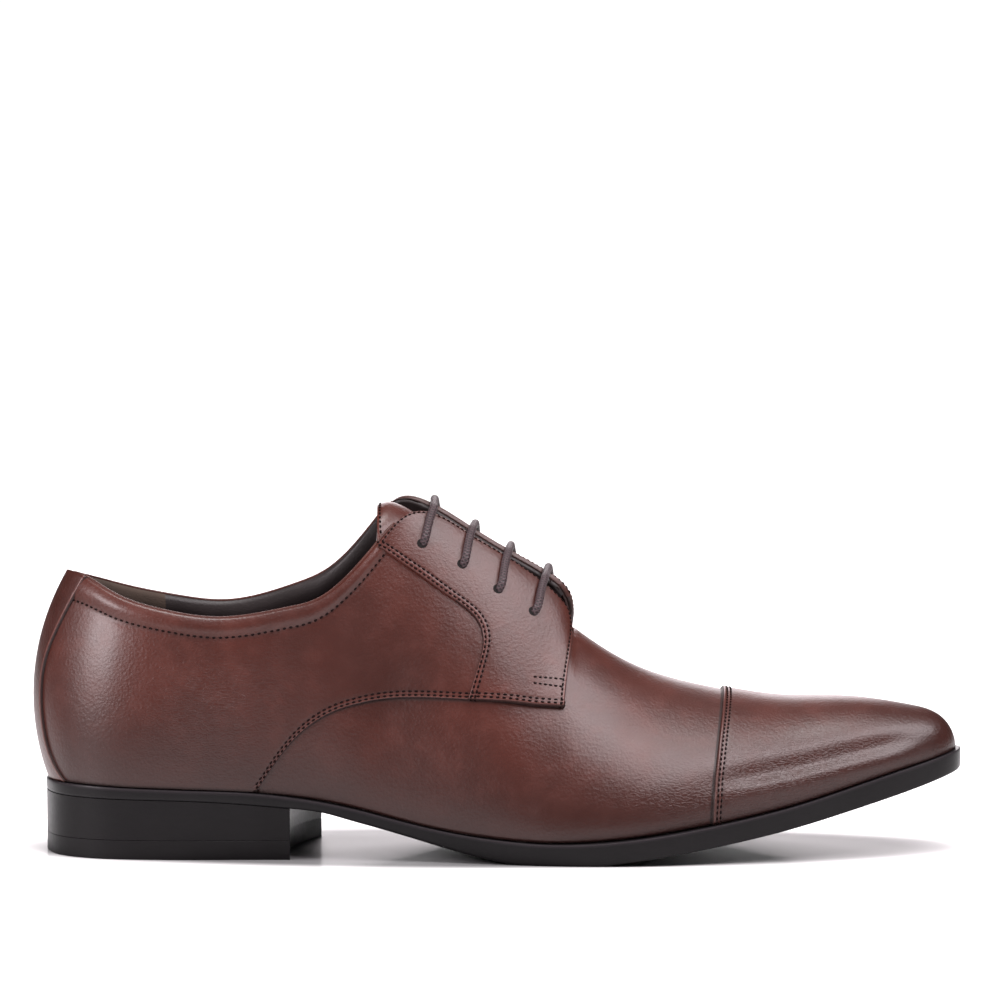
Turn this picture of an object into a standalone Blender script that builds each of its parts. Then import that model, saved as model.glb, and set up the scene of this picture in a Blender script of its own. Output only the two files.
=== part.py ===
"""Right shoe of a cap-toe derby, as separate closed solids. Metres, toe towards +X, up is +Z."""
import math

import bmesh
import bpy
import numpy as np

# Driving sizes of the shoe
SHOE_LENGTH = 0.310
BALL_WIDTH = 0.100
INSTEP_HEIGHT = 0.119

# Thicknesses and clearances
WALL = 0.0016
QUARTER_STEP = 0.0009
OVERLAY = 0.0007
GAP = 0.00035
FACING_GAP = 0.00050
INSOLE_EASE = 0.0021
TONGUE_EASE = 0.0007
LACE_EASE = 0.0008
TONGUE_THICKNESS = 0.0018
INSOLE_THICKNESS = 0.0030
TOP_PIECE_THICKNESS = 0.0065
LACE_DIAMETER = 0.0028
LACE_ROOM = 0.0034
SOLE_ROUNDING = 0.0011
HEEL_INSET = 0.0001
HEEL_TAPER = 0.0001
BREAST_HOLLOW = 0.0050

# Mesh counts
COLUMNS_QUARTER = 21
COLUMNS_CORNER = 6
COLUMNS_VAMP = 9
COLUMNS_CAP = 10
ROWS_BELOW_SEAM = 4
ROWS_ABOVE_SEAM = 7
ROWS_RIDGE = 3
CORD_SIDES = 8
ACROSS = 4
STRIP_ROWS = 13
SOLE_STATIONS = 45
FACING_COLUMNS = 11
FACING_ROWS_LOW = 9
FACING_ROWS_HIGH = 14
ROWS_CAP = 10
TONGUE_COLUMNS = 14
TONGUE_SIDE_ROWS = 4
INSOLE_COLUMNS = 28
HEEL_STATIONS = 15
LACE_POINTS = 6
SAMPLES = 40
STRIP_COLUMNS = 9
WELD = 5e-7
# Rows of the upper above its seam lie closer together towards the edge line

# Sole seen from the side. place and heights: shares of SHOE_LENGTH and INSTEP_HEIGHT
SOLE_TOP = (
    (0.0000, 0.2059), (0.0452, 0.2042), (0.0871, 0.2000), (0.1806, 0.1916), (0.2290, 0.1857),
    (0.2710, 0.1739), (0.3032, 0.1613), (0.3452, 0.1387), (0.3839, 0.1143), (0.4258, 0.0908),
    (0.4548, 0.0782), (0.4903, 0.0672), (0.5290, 0.0597), (0.5677, 0.0588), (0.6161, 0.0664),
    (0.6677, 0.0824), (0.7097, 0.0992), (0.7613, 0.1227), (0.8194, 0.1555), (0.8742, 0.1958),
    (0.9323, 0.2403), (0.9774, 0.2731), (1.0000, 0.2899),
)
SOLE_BOTTOM = (
    (0.0000, 0.1723), (0.0968, 0.1672), (0.1806, 0.1613), (0.2710, 0.1429), (0.3065, 0.1311),
    (0.3355, 0.1109), (0.3677, 0.0891), (0.4000, 0.0664), (0.4258, 0.0479), (0.4548, 0.0286),
    (0.4903, 0.0092), (0.5161, 0.0000), (0.5355, -0.0034), (0.5806, -0.0034), (0.6000, 0.0000),
    (0.6161, 0.0050), (0.6677, 0.0227), (0.7097, 0.0395), (0.7613, 0.0630), (0.8161, 0.0924),
    (0.8742, 0.1319), (0.9323, 0.1756), (0.9774, 0.2126), (1.0000, 0.2319),
)

# Sole seen from below. place: share of SHOE_LENGTH; lateral, medial: shares of BALL_WIDTH
SOLE_OUTLINE = (
    (0.0000, 0.0000, 0.0000), (0.0065, 0.1200, 0.1200), (0.0161, 0.1900, 0.1900), (0.0323, 0.2500, 0.2500),
    (0.0645, 0.3100, 0.3050), (0.1129, 0.3400, 0.3350), (0.1613, 0.3450, 0.3300), (0.2258, 0.3400, 0.3100),
    (0.2903, 0.3400, 0.2850), (0.3548, 0.3550, 0.2700), (0.4194, 0.3950, 0.2900), (0.4839, 0.4500, 0.3400),
    (0.5484, 0.5000, 0.4050), (0.5968, 0.5160, 0.4500), (0.6452, 0.5140, 0.4750), (0.6774, 0.5000, 0.4800),
    (0.7161, 0.4680, 0.4660), (0.7742, 0.4060, 0.4180), (0.8387, 0.3280, 0.3480), (0.9032, 0.2530, 0.2740),
    (0.9516, 0.1920, 0.2100), (0.9774, 0.1420, 0.1600), (0.9935, 0.0840, 0.0950), (1.0000, 0.0000, 0.0000),
)

# Ribs of the quarters, from the feather line to the topline or the lace edge.
# foot_x, edge_x: shares of SHOE_LENGTH; foot_y, out, edge_y, edge_out: shares of BALL_WIDTH;
# up, edge_z, edge_down: shares of INSTEP_HEIGHT; fan: degrees from straight back
QUARTER_COLUMNS = ("name", "fan", "foot_x", "foot_y", "out", "up",
                   "edge_x", "edge_y", "edge_z", "edge_out", "edge_down")
BACK_RIB = (("back", 0, 0.0084, 0.0000, 0.0680, 0.1513, 0.0287, 0.0000, 0.7857, 0.1490, 0.2185),)
LATERAL_QUARTER = (
    ("diagonal", 45, 0.0348, 0.2200, 0.0400, 0.1345, 0.0503, 0.1150, 0.7756, 0.0900, 0.2017),
    ("hollow", 75, 0.0774, 0.2960, 0.0300, 0.1261, 0.0855, 0.1980, 0.7294, 0.0750, 0.1849),
    ("seat", 90, 0.1355, 0.3180, 0.0250, 0.1176, 0.1387, 0.2500, 0.6908, 0.0700, 0.1765),
    ("ankle", 90, 0.2000, 0.3180, 0.0200, 0.1176, 0.2000, 0.2680, 0.6739, 0.0550, 0.1681),
    ("breast", 90, 0.2710, 0.3100, 0.0200, 0.1345, 0.2710, 0.2700, 0.7025, 0.0450, 0.1849),
    ("waist", 90, 0.3355, 0.3200, 0.0300, 0.1681, 0.3290, 0.2420, 0.7798, 0.0500, 0.2101),
    ("top_back", 90, 0.3613, 0.3320, 0.0300, 0.1849, 0.3600, 0.1900, 0.8672, 0.0600, 0.2101),
    ("top", 90, 0.3839, 0.3480, 0.0320, 0.2017, 0.3826, 0.1320, 0.9328, 0.0900, 0.1765),
    ("top_front", 90, 0.4129, 0.3720, 0.0340, 0.2101, 0.4113, 0.0760, 0.9546, 0.1300, 0.1092),
    ("second", 90, 0.4613, 0.4120, 0.0400, 0.2101, 0.4606, 0.0630, 0.8891, 0.1400, 0.0840),
    ("fourth", 90, 0.5161, 0.4520, 0.0400, 0.1849, 0.5168, 0.0600, 0.7950, 0.1400, 0.0756),
    ("corner", 90, 0.5335, 0.4640, 0.0400, 0.1723, 0.5461, 0.0600, 0.7361, 0.1300, 0.0756),
    ("shoulder", 90, 0.5445, 0.4720, 0.0400, 0.1681, 0.5648, 0.0640, 0.6790, 0.1400, 0.0672),
)
MEDIAL_QUARTER = (
    ("diagonal", 45, 0.0348, 0.2180, 0.0400, 0.1345, 0.0503, 0.1150, 0.7647, 0.0900, 0.2017),
    ("hollow", 75, 0.0774, 0.2900, 0.0300, 0.1261, 0.0855, 0.1980, 0.7345, 0.0750, 0.1849),
    ("seat", 90, 0.1355, 0.3080, 0.0250, 0.1176, 0.1387, 0.2460, 0.7042, 0.0700, 0.1765),
    ("ankle", 90, 0.2000, 0.2960, 0.0260, 0.1176, 0.2000, 0.2640, 0.6916, 0.0600, 0.1681),
    ("breast", 90, 0.2710, 0.2660, 0.0400, 0.1513, 0.2710, 0.2680, 0.7395, 0.0450, 0.1849),
    ("waist", 90, 0.3355, 0.2500, 0.0600, 0.2017, 0.3290, 0.2500, 0.8353, 0.0500, 0.2101),
    ("top_back", 90, 0.3613, 0.2520, 0.0700, 0.2185, 0.3568, 0.2200, 0.9210, 0.0700, 0.2101),
    ("top", 90, 0.3839, 0.2640, 0.0800, 0.2353, 0.3781, 0.1760, 0.9798, 0.0900, 0.1513),
    ("top_front", 90, 0.4129, 0.2840, 0.0900, 0.2353, 0.4065, 0.1400, 0.9815, 0.1100, 0.1008),
    ("second", 90, 0.4613, 0.3200, 0.0900, 0.2185, 0.4606, 0.1290, 0.9008, 0.1200, 0.0756),
    ("fourth", 90, 0.5161, 0.3660, 0.0800, 0.2017, 0.5168, 0.1230, 0.8134, 0.1200, 0.0756),
    ("corner", 90, 0.5335, 0.3800, 0.0720, 0.1891, 0.5484, 0.1200, 0.7647, 0.1200, 0.0756),
    ("shoulder", 90, 0.5445, 0.3900, 0.0700, 0.1849, 0.5690, 0.1200, 0.7059, 0.1200, 0.0672),
)

# Ribs of the vamp, from the feather line to the ridge.
# foot_x: share of SHOE_LENGTH; foot_y, out, side: shares of BALL_WIDTH; up: share of INSTEP_HEIGHT;
# cut: where on the rib the line of the lace edge runs on
VAMP_COLUMNS = ("name", "foot_x", "foot_y", "out", "up", "side", "cut")
LATERAL_VAMP = (
    ("front", 0.5542, 0.4750, 0.0300, 0.1345, 0.3300, 0.885),
    ("ball", 0.6516, 0.4800, 0.0380, 0.1513, 0.2600, 0.84),
    ("cap", 0.7216, 0.4300, 0.0400, 0.1429, 0.2300, 0.83),
    ("cap_back", 0.7935, 0.3540, 0.0320, 0.1303, 0.2000, 0.82),
    ("toe", 0.8710, 0.2660, 0.0240, 0.1092, 0.1650, 0.82),
    ("toe_corner", 0.9355, 0.1900, 0.0180, 0.0840, 0.1200, 0.82),
    ("nose", 0.9742, 0.1200, 0.0120, 0.0546, 0.0800, 0.82),
    ("tip", 0.9916, 0.0000, 0.0000, 0.0000, 0.0000, 0.82),
)
MEDIAL_VAMP = (
    ("front", 0.5542, 0.3960, 0.0600, 0.1765, 0.2400, 0.88),
    ("ball", 0.6516, 0.4560, 0.0450, 0.1765, 0.2400, 0.87),
    ("cap", 0.7216, 0.4300, 0.0360, 0.1513, 0.2400, 0.85),
    ("cap_back", 0.7935, 0.3720, 0.0300, 0.1345, 0.2100, 0.84),
    ("toe", 0.8710, 0.2880, 0.0240, 0.1134, 0.1750, 0.83),
    ("toe_corner", 0.9355, 0.2120, 0.0180, 0.0840, 0.1300, 0.82),
    ("nose", 0.9742, 0.1380, 0.0120, 0.0546, 0.0850, 0.82),
    ("tip", 0.9916, 0.0000, 0.0000, 0.0000, 0.0000, 0.82),
)
# Ridge of the vamp: shares of SHOE_LENGTH, BALL_WIDTH and, above the sole, INSTEP_HEIGHT
RIDGE_COLUMNS = ("name", "ridge_x", "ridge_y", "rise")
RIDGE = (
    ("front", 0.5781, 0.0500, 0.5613),
    ("ball", 0.6613, 0.0480, 0.4166),
    ("cap", 0.7397, 0.0440, 0.3330),
    ("cap_back", 0.8065, 0.0400, 0.2737),
    ("toe", 0.8806, 0.0340, 0.2168),
    ("toe_corner", 0.9419, 0.0280, 0.1484),
    ("nose", 0.9761, 0.0200, 0.0942),
    ("tip", 0.9916, 0.0100, 0.0000),
)

# Seams on the outer side, as place and height: shares of SHOE_LENGTH and INSTEP_HEIGHT
QUARTER_SEAM = (
    (0.5639, 0.4244), (0.5448, 0.4269), (0.5119, 0.4387), (0.4561, 0.4487), (0.4161, 0.4521),
    (0.3813, 0.4496), (0.3513, 0.4387), (0.3245, 0.4202), (0.3039, 0.3950), (0.2881, 0.3664),
    (0.2742, 0.3328), (0.2613, 0.2924), (0.2484, 0.2454), (0.2387, 0.2067), (0.2323, 0.1840),
)
FACING_SEAM = (
    (0.3642, 0.8622), (0.3948, 0.8101), (0.4242, 0.7563), (0.4487, 0.7118), (0.4648, 0.6807),
    (0.4742, 0.6454), (0.4774, 0.6059), (0.4748, 0.5655), (0.4694, 0.5202), (0.4619, 0.4622),
)
# Half width of the back strip at shares of its height: shares of BALL_WIDTH
STRIP_WIDTH = (
    (0.00, 0.205), (0.15, 0.155), (0.30, 0.125), (0.45, 0.106), (0.60, 0.097), (0.75, 0.107), (1.00, 0.114),
)
# Heel breast at its outer and inner corner: shares of SHOE_LENGTH
BREAST_LATERAL = 0.271
BREAST_MEDIAL = 0.297
# Eyelets as place and height on the outer side, and how much further forward the bar's inner end lies:
# shares of SHOE_LENGTH, INSTEP_HEIGHT and SHOE_LENGTH
EYELETS = (
    (0.4110, 0.8685, 0.0210), (0.4536, 0.8100, 0.0190), (0.4921, 0.7400, 0.0188), (0.5294, 0.6765, 0.0125),
)
# Part of that forward lean that each end makes before the edges
LACE_TURN = 0.4
# Share of the facing's rear seam that lies opposite its front edge
FACING_CORNER = 0.42
# Share of a rib that the toe cap stays off the sole
CAP_LIFT = 0.012
# Tongue: how far down each side, how far under the vamp, its upper end past the facing and its arch
TONGUE_LOW = 0.62
TONGUE_UNDER = 0.010
TONGUE_TOP = 0.0045
TONGUE_ARCH = 0.36
# Share of the tongue's length over which it sinks to leave room for the lace
TONGUE_SINK = 0.2
# Power that draws shares closer together towards an edge
CROWDING = 1.5


class Spline:
    """Natural cubic spline through rows of values."""

    def __init__(self, knots, rows):
        self.knots = np.asarray(knots, float)
        self.rows = np.asarray(rows, float).reshape(len(self.knots), -1)
        step = np.diff(self.knots)
        slope = np.diff(self.rows, axis=0) / step[:, None]
        matrix = np.eye(len(self.knots))
        right = np.zeros_like(self.rows)
        for i in range(1, len(self.knots) - 1):
            matrix[i, i - 1:i + 2] = step[i - 1], 2 * (step[i - 1] + step[i]), step[i]
            right[i] = 6 * (slope[i] - slope[i - 1])
        self.bend = np.linalg.solve(matrix, right)

    def __call__(self, place):
        place = np.atleast_1d(np.asarray(place, float))
        i = np.clip(np.searchsorted(self.knots, place) - 1, 0, len(self.knots) - 2)
        step = (self.knots[i + 1] - self.knots[i])[:, None]
        after = (place - self.knots[i])[:, None] / step
        before = 1 - after
        return (before * self.rows[i] + after * self.rows[i + 1]
                + step ** 2 / 6 * ((before ** 3 - before) * self.bend[i]
                                   + (after ** 3 - after) * self.bend[i + 1]))


def scaled(rows, *sizes):
    """Rows of shares as lengths, each column by its own named size."""
    return np.asarray(rows, float) * np.asarray(sizes)


def profile(rows):
    """Height above the floor as a function of the place along the shoe."""
    lengths = scaled(rows, SHOE_LENGTH, INSTEP_HEIGHT)
    curve = Spline(lengths[:, 0], lengths[:, 1])
    return lambda x: np.maximum(curve(np.clip(x, 0, SHOE_LENGTH))[:, 0], 0)


sole_top = profile(SOLE_TOP)
sole_bottom = profile(SOLE_BOTTOM)


def named(table, columns, sizes):
    """Table with a name in its first column as one dictionary of arrays."""
    values = {"name": [row[0] for row in table]}
    for i, column in enumerate(columns[1:], 1):
        values[column] = np.array([row[i] for row in table]) * sizes.get(column, 1)
    return values


QUARTER_SIZES = {"foot_x": SHOE_LENGTH, "edge_x": SHOE_LENGTH, "foot_y": BALL_WIDTH, "out": BALL_WIDTH,
                 "edge_y": BALL_WIDTH, "edge_out": BALL_WIDTH, "up": INSTEP_HEIGHT,
                 "edge_z": INSTEP_HEIGHT, "edge_down": INSTEP_HEIGHT}
VAMP_SIZES = {"foot_x": SHOE_LENGTH, "foot_y": BALL_WIDTH, "out": BALL_WIDTH, "side": BALL_WIDTH,
              "up": INSTEP_HEIGHT}
RIDGE_SIZES = {"ridge_x": SHOE_LENGTH, "ridge_y": BALL_WIDTH, "rise": INSTEP_HEIGHT}


def bezier(controls, share):
    share = share[:, None]
    rest = 1 - share
    return (rest ** 3 * controls[:, 0] + 3 * rest ** 2 * share * controls[:, 1]
            + 3 * rest * share ** 2 * controls[:, 2] + share ** 3 * controls[:, 3])


def split(controls, share):
    """Cubics of four points cut in two that share their middle point: seven points each."""
    share = share[:, None]
    first = controls[:, 0] + share * (controls[:, 1] - controls[:, 0])
    middle = controls[:, 1] + share * (controls[:, 2] - controls[:, 1])
    last = controls[:, 2] + share * (controls[:, 3] - controls[:, 2])
    before = first + share * (middle - first)
    after = middle + share * (last - middle)
    cut = before + share * (after - before)
    return np.stack([controls[:, 0], first, before, cut, after, last, controls[:, 3]], axis=1)


class Last:
    """Form of the upper. s runs round the shoe from the back, minus on the outer side, to the toe;
    t runs up a rib: 0 at the feather line, 1 at the edge line, 2 at the ridge."""

    def __init__(self):
        lateral = named(LATERAL_QUARTER, QUARTER_COLUMNS, QUARTER_SIZES)
        medial = named(MEDIAL_QUARTER, QUARTER_COLUMNS, QUARTER_SIZES)
        back = named(BACK_RIB, QUARTER_COLUMNS, QUARTER_SIZES)
        self.vamp_rows = {-1: named(LATERAL_VAMP, VAMP_COLUMNS, VAMP_SIZES),
                          1: named(MEDIAL_VAMP, VAMP_COLUMNS, VAMP_SIZES)}
        self.ridge_rows = named(RIDGE, RIDGE_COLUMNS, RIDGE_SIZES)
        self.tip_y = self.ridge_rows["ridge_y"][-1]
        foot = [self.mean_foot(back, back), self.mean_foot(lateral, medial),
                self.mean_foot(self.vamp_rows[-1], self.vamp_rows[1])]
        chords = np.linalg.norm(np.diff(np.vstack(foot), axis=0), axis=1)
        stations = np.concatenate([[0], np.cumsum(chords)])
        count = 1 + len(lateral["name"])
        self.front = stations[count]
        self.tip = stations[-1]
        self.station = dict(zip(back["name"] + lateral["name"] + self.vamp_rows[1]["name"], stations))
        self.vamp = {side: self.vamp_spline(side, stations[count:]) for side in (-1, 1)}
        ghosts = self.front + np.array([0, 0.4, 0.8]) * (stations[count + 1] - self.front)
        knots = np.concatenate([-ghosts[::-1], -stations[1:count][::-1], stations[:count], ghosts])
        rows = np.concatenate([self.vamp_controls(-ghosts[::-1])[:, :4],
                               self.quarter_controls(lateral, -1)[::-1],
                               self.quarter_controls(back, 1),
                               self.quarter_controls(medial, 1),
                               self.vamp_controls(ghosts)[:, :4]])
        self.quarter = Spline(knots, rows.reshape(len(knots), -1))

    @staticmethod
    def mean_foot(one, other):
        return np.stack([(one[key] + other[key]) / 2 for key in ("foot_x", "foot_y")], axis=1)

    @staticmethod
    def quarter_controls(rows, side):
        fan = np.radians(rows["fan"])
        outward = np.stack([-np.cos(fan), side * np.sin(fan), 0 * fan], axis=1)
        up = np.array([0, 0, 1])
        foot = np.stack([rows["foot_x"], side * rows["foot_y"], sole_top(rows["foot_x"]) + GAP], axis=1)
        edge = np.stack([rows["edge_x"], side * rows["edge_y"], rows["edge_z"]], axis=1)
        rise = foot + rows["out"][:, None] * outward + rows["up"][:, None] * up
        fall = edge + rows["edge_out"][:, None] * outward - rows["edge_down"][:, None] * up
        return np.stack([foot, rise, fall, edge], axis=1)

    def vamp_spline(self, side, stations):
        """Columns of the vamp, run on past the tip as a mirror image so that the toe comes out round."""
        even = ("foot_x", "cut", "ridge_x")
        rows = {**self.vamp_rows[side], **self.ridge_rows}
        rows["ridge_y"] = rows["ridge_y"] - self.tip_y
        names = [name for name in rows if name != "name"]
        table = np.stack([rows[name] for name in names], axis=1)
        sign = np.array([1 if name in even else -1 for name in names])
        knots = np.concatenate([stations, 2 * stations[-1] - stations[-2::-1]])
        curve = Spline(knots, np.vstack([table, table[-2::-1] * sign]))
        return lambda s: dict(zip(names, curve(np.minimum(np.abs(s), self.tip)).T))

    def vamp_controls(self, s):
        s = np.asarray(s, float)
        result = np.zeros((len(s), 7, 3))
        for side in (-1, 1):
            mask = s * side > 0
            if not mask.any():
                continue
            row = self.vamp[side](s[mask])
            foot = np.stack([row["foot_x"], self.tip_y + side * row["foot_y"],
                             sole_top(row["foot_x"]) + GAP], axis=1)
            ridge = np.stack([row["ridge_x"], self.tip_y + row["ridge_y"],
                              sole_top(row["ridge_x"]) + GAP + row["rise"]], axis=1)
            zero = 0 * row["out"]
            rise = foot + np.stack([zero, side * row["out"], row["up"]], axis=1)
            flat = ridge + np.stack([zero, side * row["side"], zero], axis=1)
            result[mask] = split(np.stack([foot, rise, flat, ridge], axis=1), row["cut"])
        return result

    def controls(self, s):
        result = self.vamp_controls(s)
        mask = np.abs(s) < self.front - WELD
        if mask.any():
            quarter = self.quarter(s[mask]).reshape(-1, 4, 3)
            onward = quarter[:, 3] - quarter[:, 2]
            beyond = [(quarter[:, 3] + onward * k)[:, None] for k in (1, 2, 3)]
            result[mask] = np.concatenate([quarter] + beyond, axis=1)
        return result

    def point(self, s, t):
        s, t = (a.ravel() for a in np.broadcast_arrays(np.asarray(s, float), np.asarray(t, float)))
        controls = self.controls(s)
        low = bezier(controls[:, :4], np.minimum(t, 1))
        high = bezier(controls[:, 3:], np.maximum(t - 1, 0))
        return np.where((t <= 1)[:, None], low, high)

    def across(self, s, t):
        """Outward directions, level at the feather line. At the tip they point straight ahead."""
        small_s = SHOE_LENGTH / 1000
        small_t = 0.01
        near_tip = np.abs(s) > self.tip - small_s
        at = np.clip(s, -self.tip + 2 * small_s, self.tip - 2 * small_s)
        along = self.point(at + small_s, t) - self.point(at - small_s, t)
        limit = np.where(np.abs(at) > self.front, 2.0, 3.0)
        up = self.point(at, np.minimum(t + small_t, limit)) - self.point(at, np.maximum(t - small_t, 0))
        across = np.cross(up, along)
        across[:, 2] *= np.clip(t / 0.15, 0, 1)
        across[near_tip] = 1, 0, 0
        return across / np.linalg.norm(across, axis=1)[:, None]

    def normal(self, s, t):
        """Outward normals, the same from both sides where they meet on the ridge."""
        across = self.across(s, t)
        ridge = t >= 2
        if ridge.any():
            across[ridge] += self.across(-s[ridge], t[ridge])
        return across / np.linalg.norm(across, axis=1)[:, None]

    def offset(self, s, t, distance):
        """Points off the form along its normal. The feather line stays level on the sole."""
        s, t, distance = (a.ravel() for a in np.broadcast_arrays(
            np.asarray(s, float), np.asarray(t, float), np.asarray(distance, float)))
        points = self.point(s, t) + distance[:, None] * self.normal(s, t)
        level = t <= 0
        points[level, 2] = sole_top(points[level, 0]) + GAP
        return points

    def locate(self, side, x, z):
        """s and t of the place on one side's quarter that is seen at x, z from the side."""
        s = side * np.interp(x, self.foot_span()[0], self.foot_span()[1])
        t = 0.5
        step = np.array([SHOE_LENGTH / 1000, 0.005])
        for _ in range(20):
            here = self.point(s, t)[0]
            by_s = (self.point(s + step[0], t)[0] - here) / step[0]
            by_t = (self.point(s, t + step[1])[0] - here) / step[1]
            jacobian = np.array([[by_s[0], by_t[0]], [by_s[2], by_t[2]]])
            change = np.linalg.solve(jacobian, np.array([x - here[0], z - here[2]]))
            s += change[0]
            t = min(max(t + change[1], 0), 1)
        return s, t

    def foot_span(self):
        s = np.linspace(self.station["seat"], self.tip, 30)
        return self.point(s, 0)[:, 0], s


LAST = Last()


def late(count):
    """Shares from 0 to 1 that lie closer together towards 1."""
    return 1 - (1 - np.linspace(0, 1, count)) ** CROWDING


def curve_of(points):
    """Smooth curve through points, with its place given as a share of their chord length."""
    points = np.asarray(points, float)
    scale = np.ptp(points, axis=0)
    chords = np.linalg.norm(np.diff(points, axis=0) / scale, axis=1)
    knots = np.concatenate([[0], np.cumsum(chords)])
    return Spline(knots / knots[-1], points)


def seam_on(side, table):
    """Seam given as seen from the side, as a curve in s and t."""
    places = scaled(table, SHOE_LENGTH, INSTEP_HEIGHT)
    return np.array([LAST.locate(side, x, z) for x, z in places])


def seam_height(side):
    """t of the lower edge of the quarter as a function of s: 0 behind the place where it meets the sole."""
    seam = seam_on(side, QUARTER_SEAM)
    order = np.argsort(np.abs(seam[:, 0]))
    return lambda s: np.interp(np.abs(s), np.abs(seam[order, 0]), seam[order, 1],
                               left=0, right=seam[order[-1], 1])


SEAM_T = {side: seam_height(side) for side in (-1, 1)}


def rounded(point):
    """Point on a fine lattice, so that points which fall together are one."""
    return tuple(int(round(value / WELD)) for value in point)


def solid(name, material, vertices, faces):
    """Closed mesh from points and faces. Joins points that fall together and drops faces that this closes."""
    keys = {}
    index = []
    points = []
    for vertex in vertices:
        key = rounded(vertex)
        if key not in keys:
            keys[key] = len(points)
            points.append(tuple(float(value) for value in vertex))
        index.append(keys[key])
    kept = []
    for face in faces:
        ring = []
        for corner in (index[i] for i in face):
            if corner not in ring:
                ring.append(corner)
        if len(ring) > 2:
            kept.append(ring)
    mesh = bpy.data.meshes.new(name)
    mesh.from_pydata(points, [], kept)
    work = bmesh.new()
    work.from_mesh(mesh)
    bmesh.ops.recalc_face_normals(work, faces=work.faces)
    if work.calc_volume(signed=True) < 0:
        bmesh.ops.reverse_faces(work, faces=work.faces)
    work.to_mesh(mesh)
    work.free()
    mesh.materials.append(material)
    made = bpy.data.objects.new(name, mesh)
    bpy.context.scene.collection.objects.link(made)
    return made


def shell(name, material, layers, quads):
    """Sheet with thickness. layers: its outer points, any points that only its rim passes, its inner points;
    quads: the faces that both sides share."""
    count = len(layers[0])
    keys = [rounded(point) for point in layers[0]]
    uses = {}
    for quad in quads:
        ring = [keys[i] for i in quad]
        if len(set(ring)) > 2:
            for pair in zip(ring, ring[1:] + ring[:1]):
                uses[frozenset(pair)] = uses.get(frozenset(pair), 0) + 1
    faces = []
    bottom = (len(layers) - 1) * count
    for quad in quads:
        faces.append(list(quad))
        faces.append([i + bottom for i in reversed(quad)])
        if len({keys[i] for i in quad}) < 3:
            continue
        for a, b in zip(quad, quad[1:] + quad[:1]):
            if keys[a] != keys[b] and uses[frozenset((keys[a], keys[b]))] == 1:
                for level in range(0, bottom, count):
                    faces.append([b + level, a + level, a + level + count, b + level + count])
    return solid(name, material, np.vstack(layers), faces)


def quads_of(columns, rows, first=0):
    """Quads between neighbouring columns of a grid whose points are numbered column by column."""
    return [[first + c * rows + r, first + (c + 1) * rows + r,
             first + (c + 1) * rows + r + 1, first + c * rows + r + 1]
            for c in range(columns - 1) for r in range(rows - 1)]


def sheet(name, material, s, t, outer, inner):
    """Overlay on a grid of places: s and t are arrays of columns by rows."""
    layers = [LAST.offset(s, t, outer), LAST.offset(s, t, inner)]
    return shell(name, material, layers, quads_of(*s.shape))


def upper(material):
    """Vamp and quarters as one wall, open at the collar, the throat and underneath."""
    s_rows = []
    t_rows = []
    step_rows = []
    half = np.concatenate([np.linspace(0, LAST.station["fourth"], COLUMNS_QUARTER),
                           np.linspace(LAST.station["fourth"], LAST.front, COLUMNS_CORNER + 1)[1:]])
    quarter = np.concatenate([-half[:0:-1], half])
    for s in quarter:
        seam = float(SEAM_T[1 if s > 0 else -1](s))
        below = np.linspace(0, seam, ROWS_BELOW_SEAM)
        above = seam + (1 - seam) * late(ROWS_ABOVE_SEAM + 1)
        t_rows.append(np.concatenate([below, above]))
        step_rows.append(np.concatenate([0 * below, 0 * above + QUARTER_STEP]))
        s_rows.append(np.full(len(t_rows[-1]), s))
    rows = ROWS_BELOW_SEAM + ROWS_ABOVE_SEAM + 1
    outer = [LAST.offset(np.array(s_rows), np.array(t_rows), np.array(step_rows))]
    inner = [LAST.offset(np.array(s_rows), np.array(t_rows), -WALL)]
    quads = quads_of(len(s_rows), rows)
    first = len(s_rows) * rows
    cap = LAST.station["cap"]
    vamp = np.concatenate([np.linspace(LAST.front, cap, COLUMNS_VAMP)[:-1],
                           cap + (LAST.tip - cap) * np.linspace(0, 1, COLUMNS_CAP)])
    for side in (-1, 1):
        seam = float(SEAM_T[side](LAST.front))
        below = np.linspace(0, seam, ROWS_BELOW_SEAM)
        above = seam + (1 - seam) * late(ROWS_ABOVE_SEAM + 1)
        ridge = 1 + np.linspace(0, 1, ROWS_RIDGE + 1)[1:]
        t = np.tile(np.concatenate([below, above, ridge]), (len(vamp), 1))
        s = side * np.tile(vamp[:, None], (1, t.shape[1]))
        step = np.zeros_like(t)
        outer.append(LAST.offset(s, t, step))
        inner.append(LAST.offset(s, t, -WALL))
        grid = quads_of(len(vamp), t.shape[1], first)
        quads += grid if side > 0 else [quad[::-1] for quad in grid]
        edge = 0 if side < 0 else (len(s_rows) - 1) * rows
        joint = [[edge + r, first + r, first + r + 1, edge + r + 1] for r in range(rows - 1)]
        quads += joint if side > 0 else [quad[::-1] for quad in joint]
        first += len(vamp) * t.shape[1]
    return shell("upper", material, [np.vstack(outer), np.vstack(inner)], quads)


def toe_cap(material):
    """Overlay over the toe, from its seam to the tip and over the ridge."""
    cap = LAST.station["cap"]
    s = cap + (LAST.tip - cap) * np.linspace(0, 1, COLUMNS_CAP)
    t = np.concatenate([np.linspace(CAP_LIFT, 1, ROWS_CAP), 1 + np.linspace(0, 1, ROWS_RIDGE + 1)[1:]])
    across_t = np.concatenate([t, t[-2::-1]])
    across_side = np.concatenate([-np.ones(len(t)), np.ones(len(t) - 1)])
    grid_s = s[:, None] * across_side[None, :]
    grid_t = np.tile(across_t, (len(s), 1))
    return sheet("toe_cap", material, grid_s, grid_t, GAP + OVERLAY, GAP)


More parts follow.
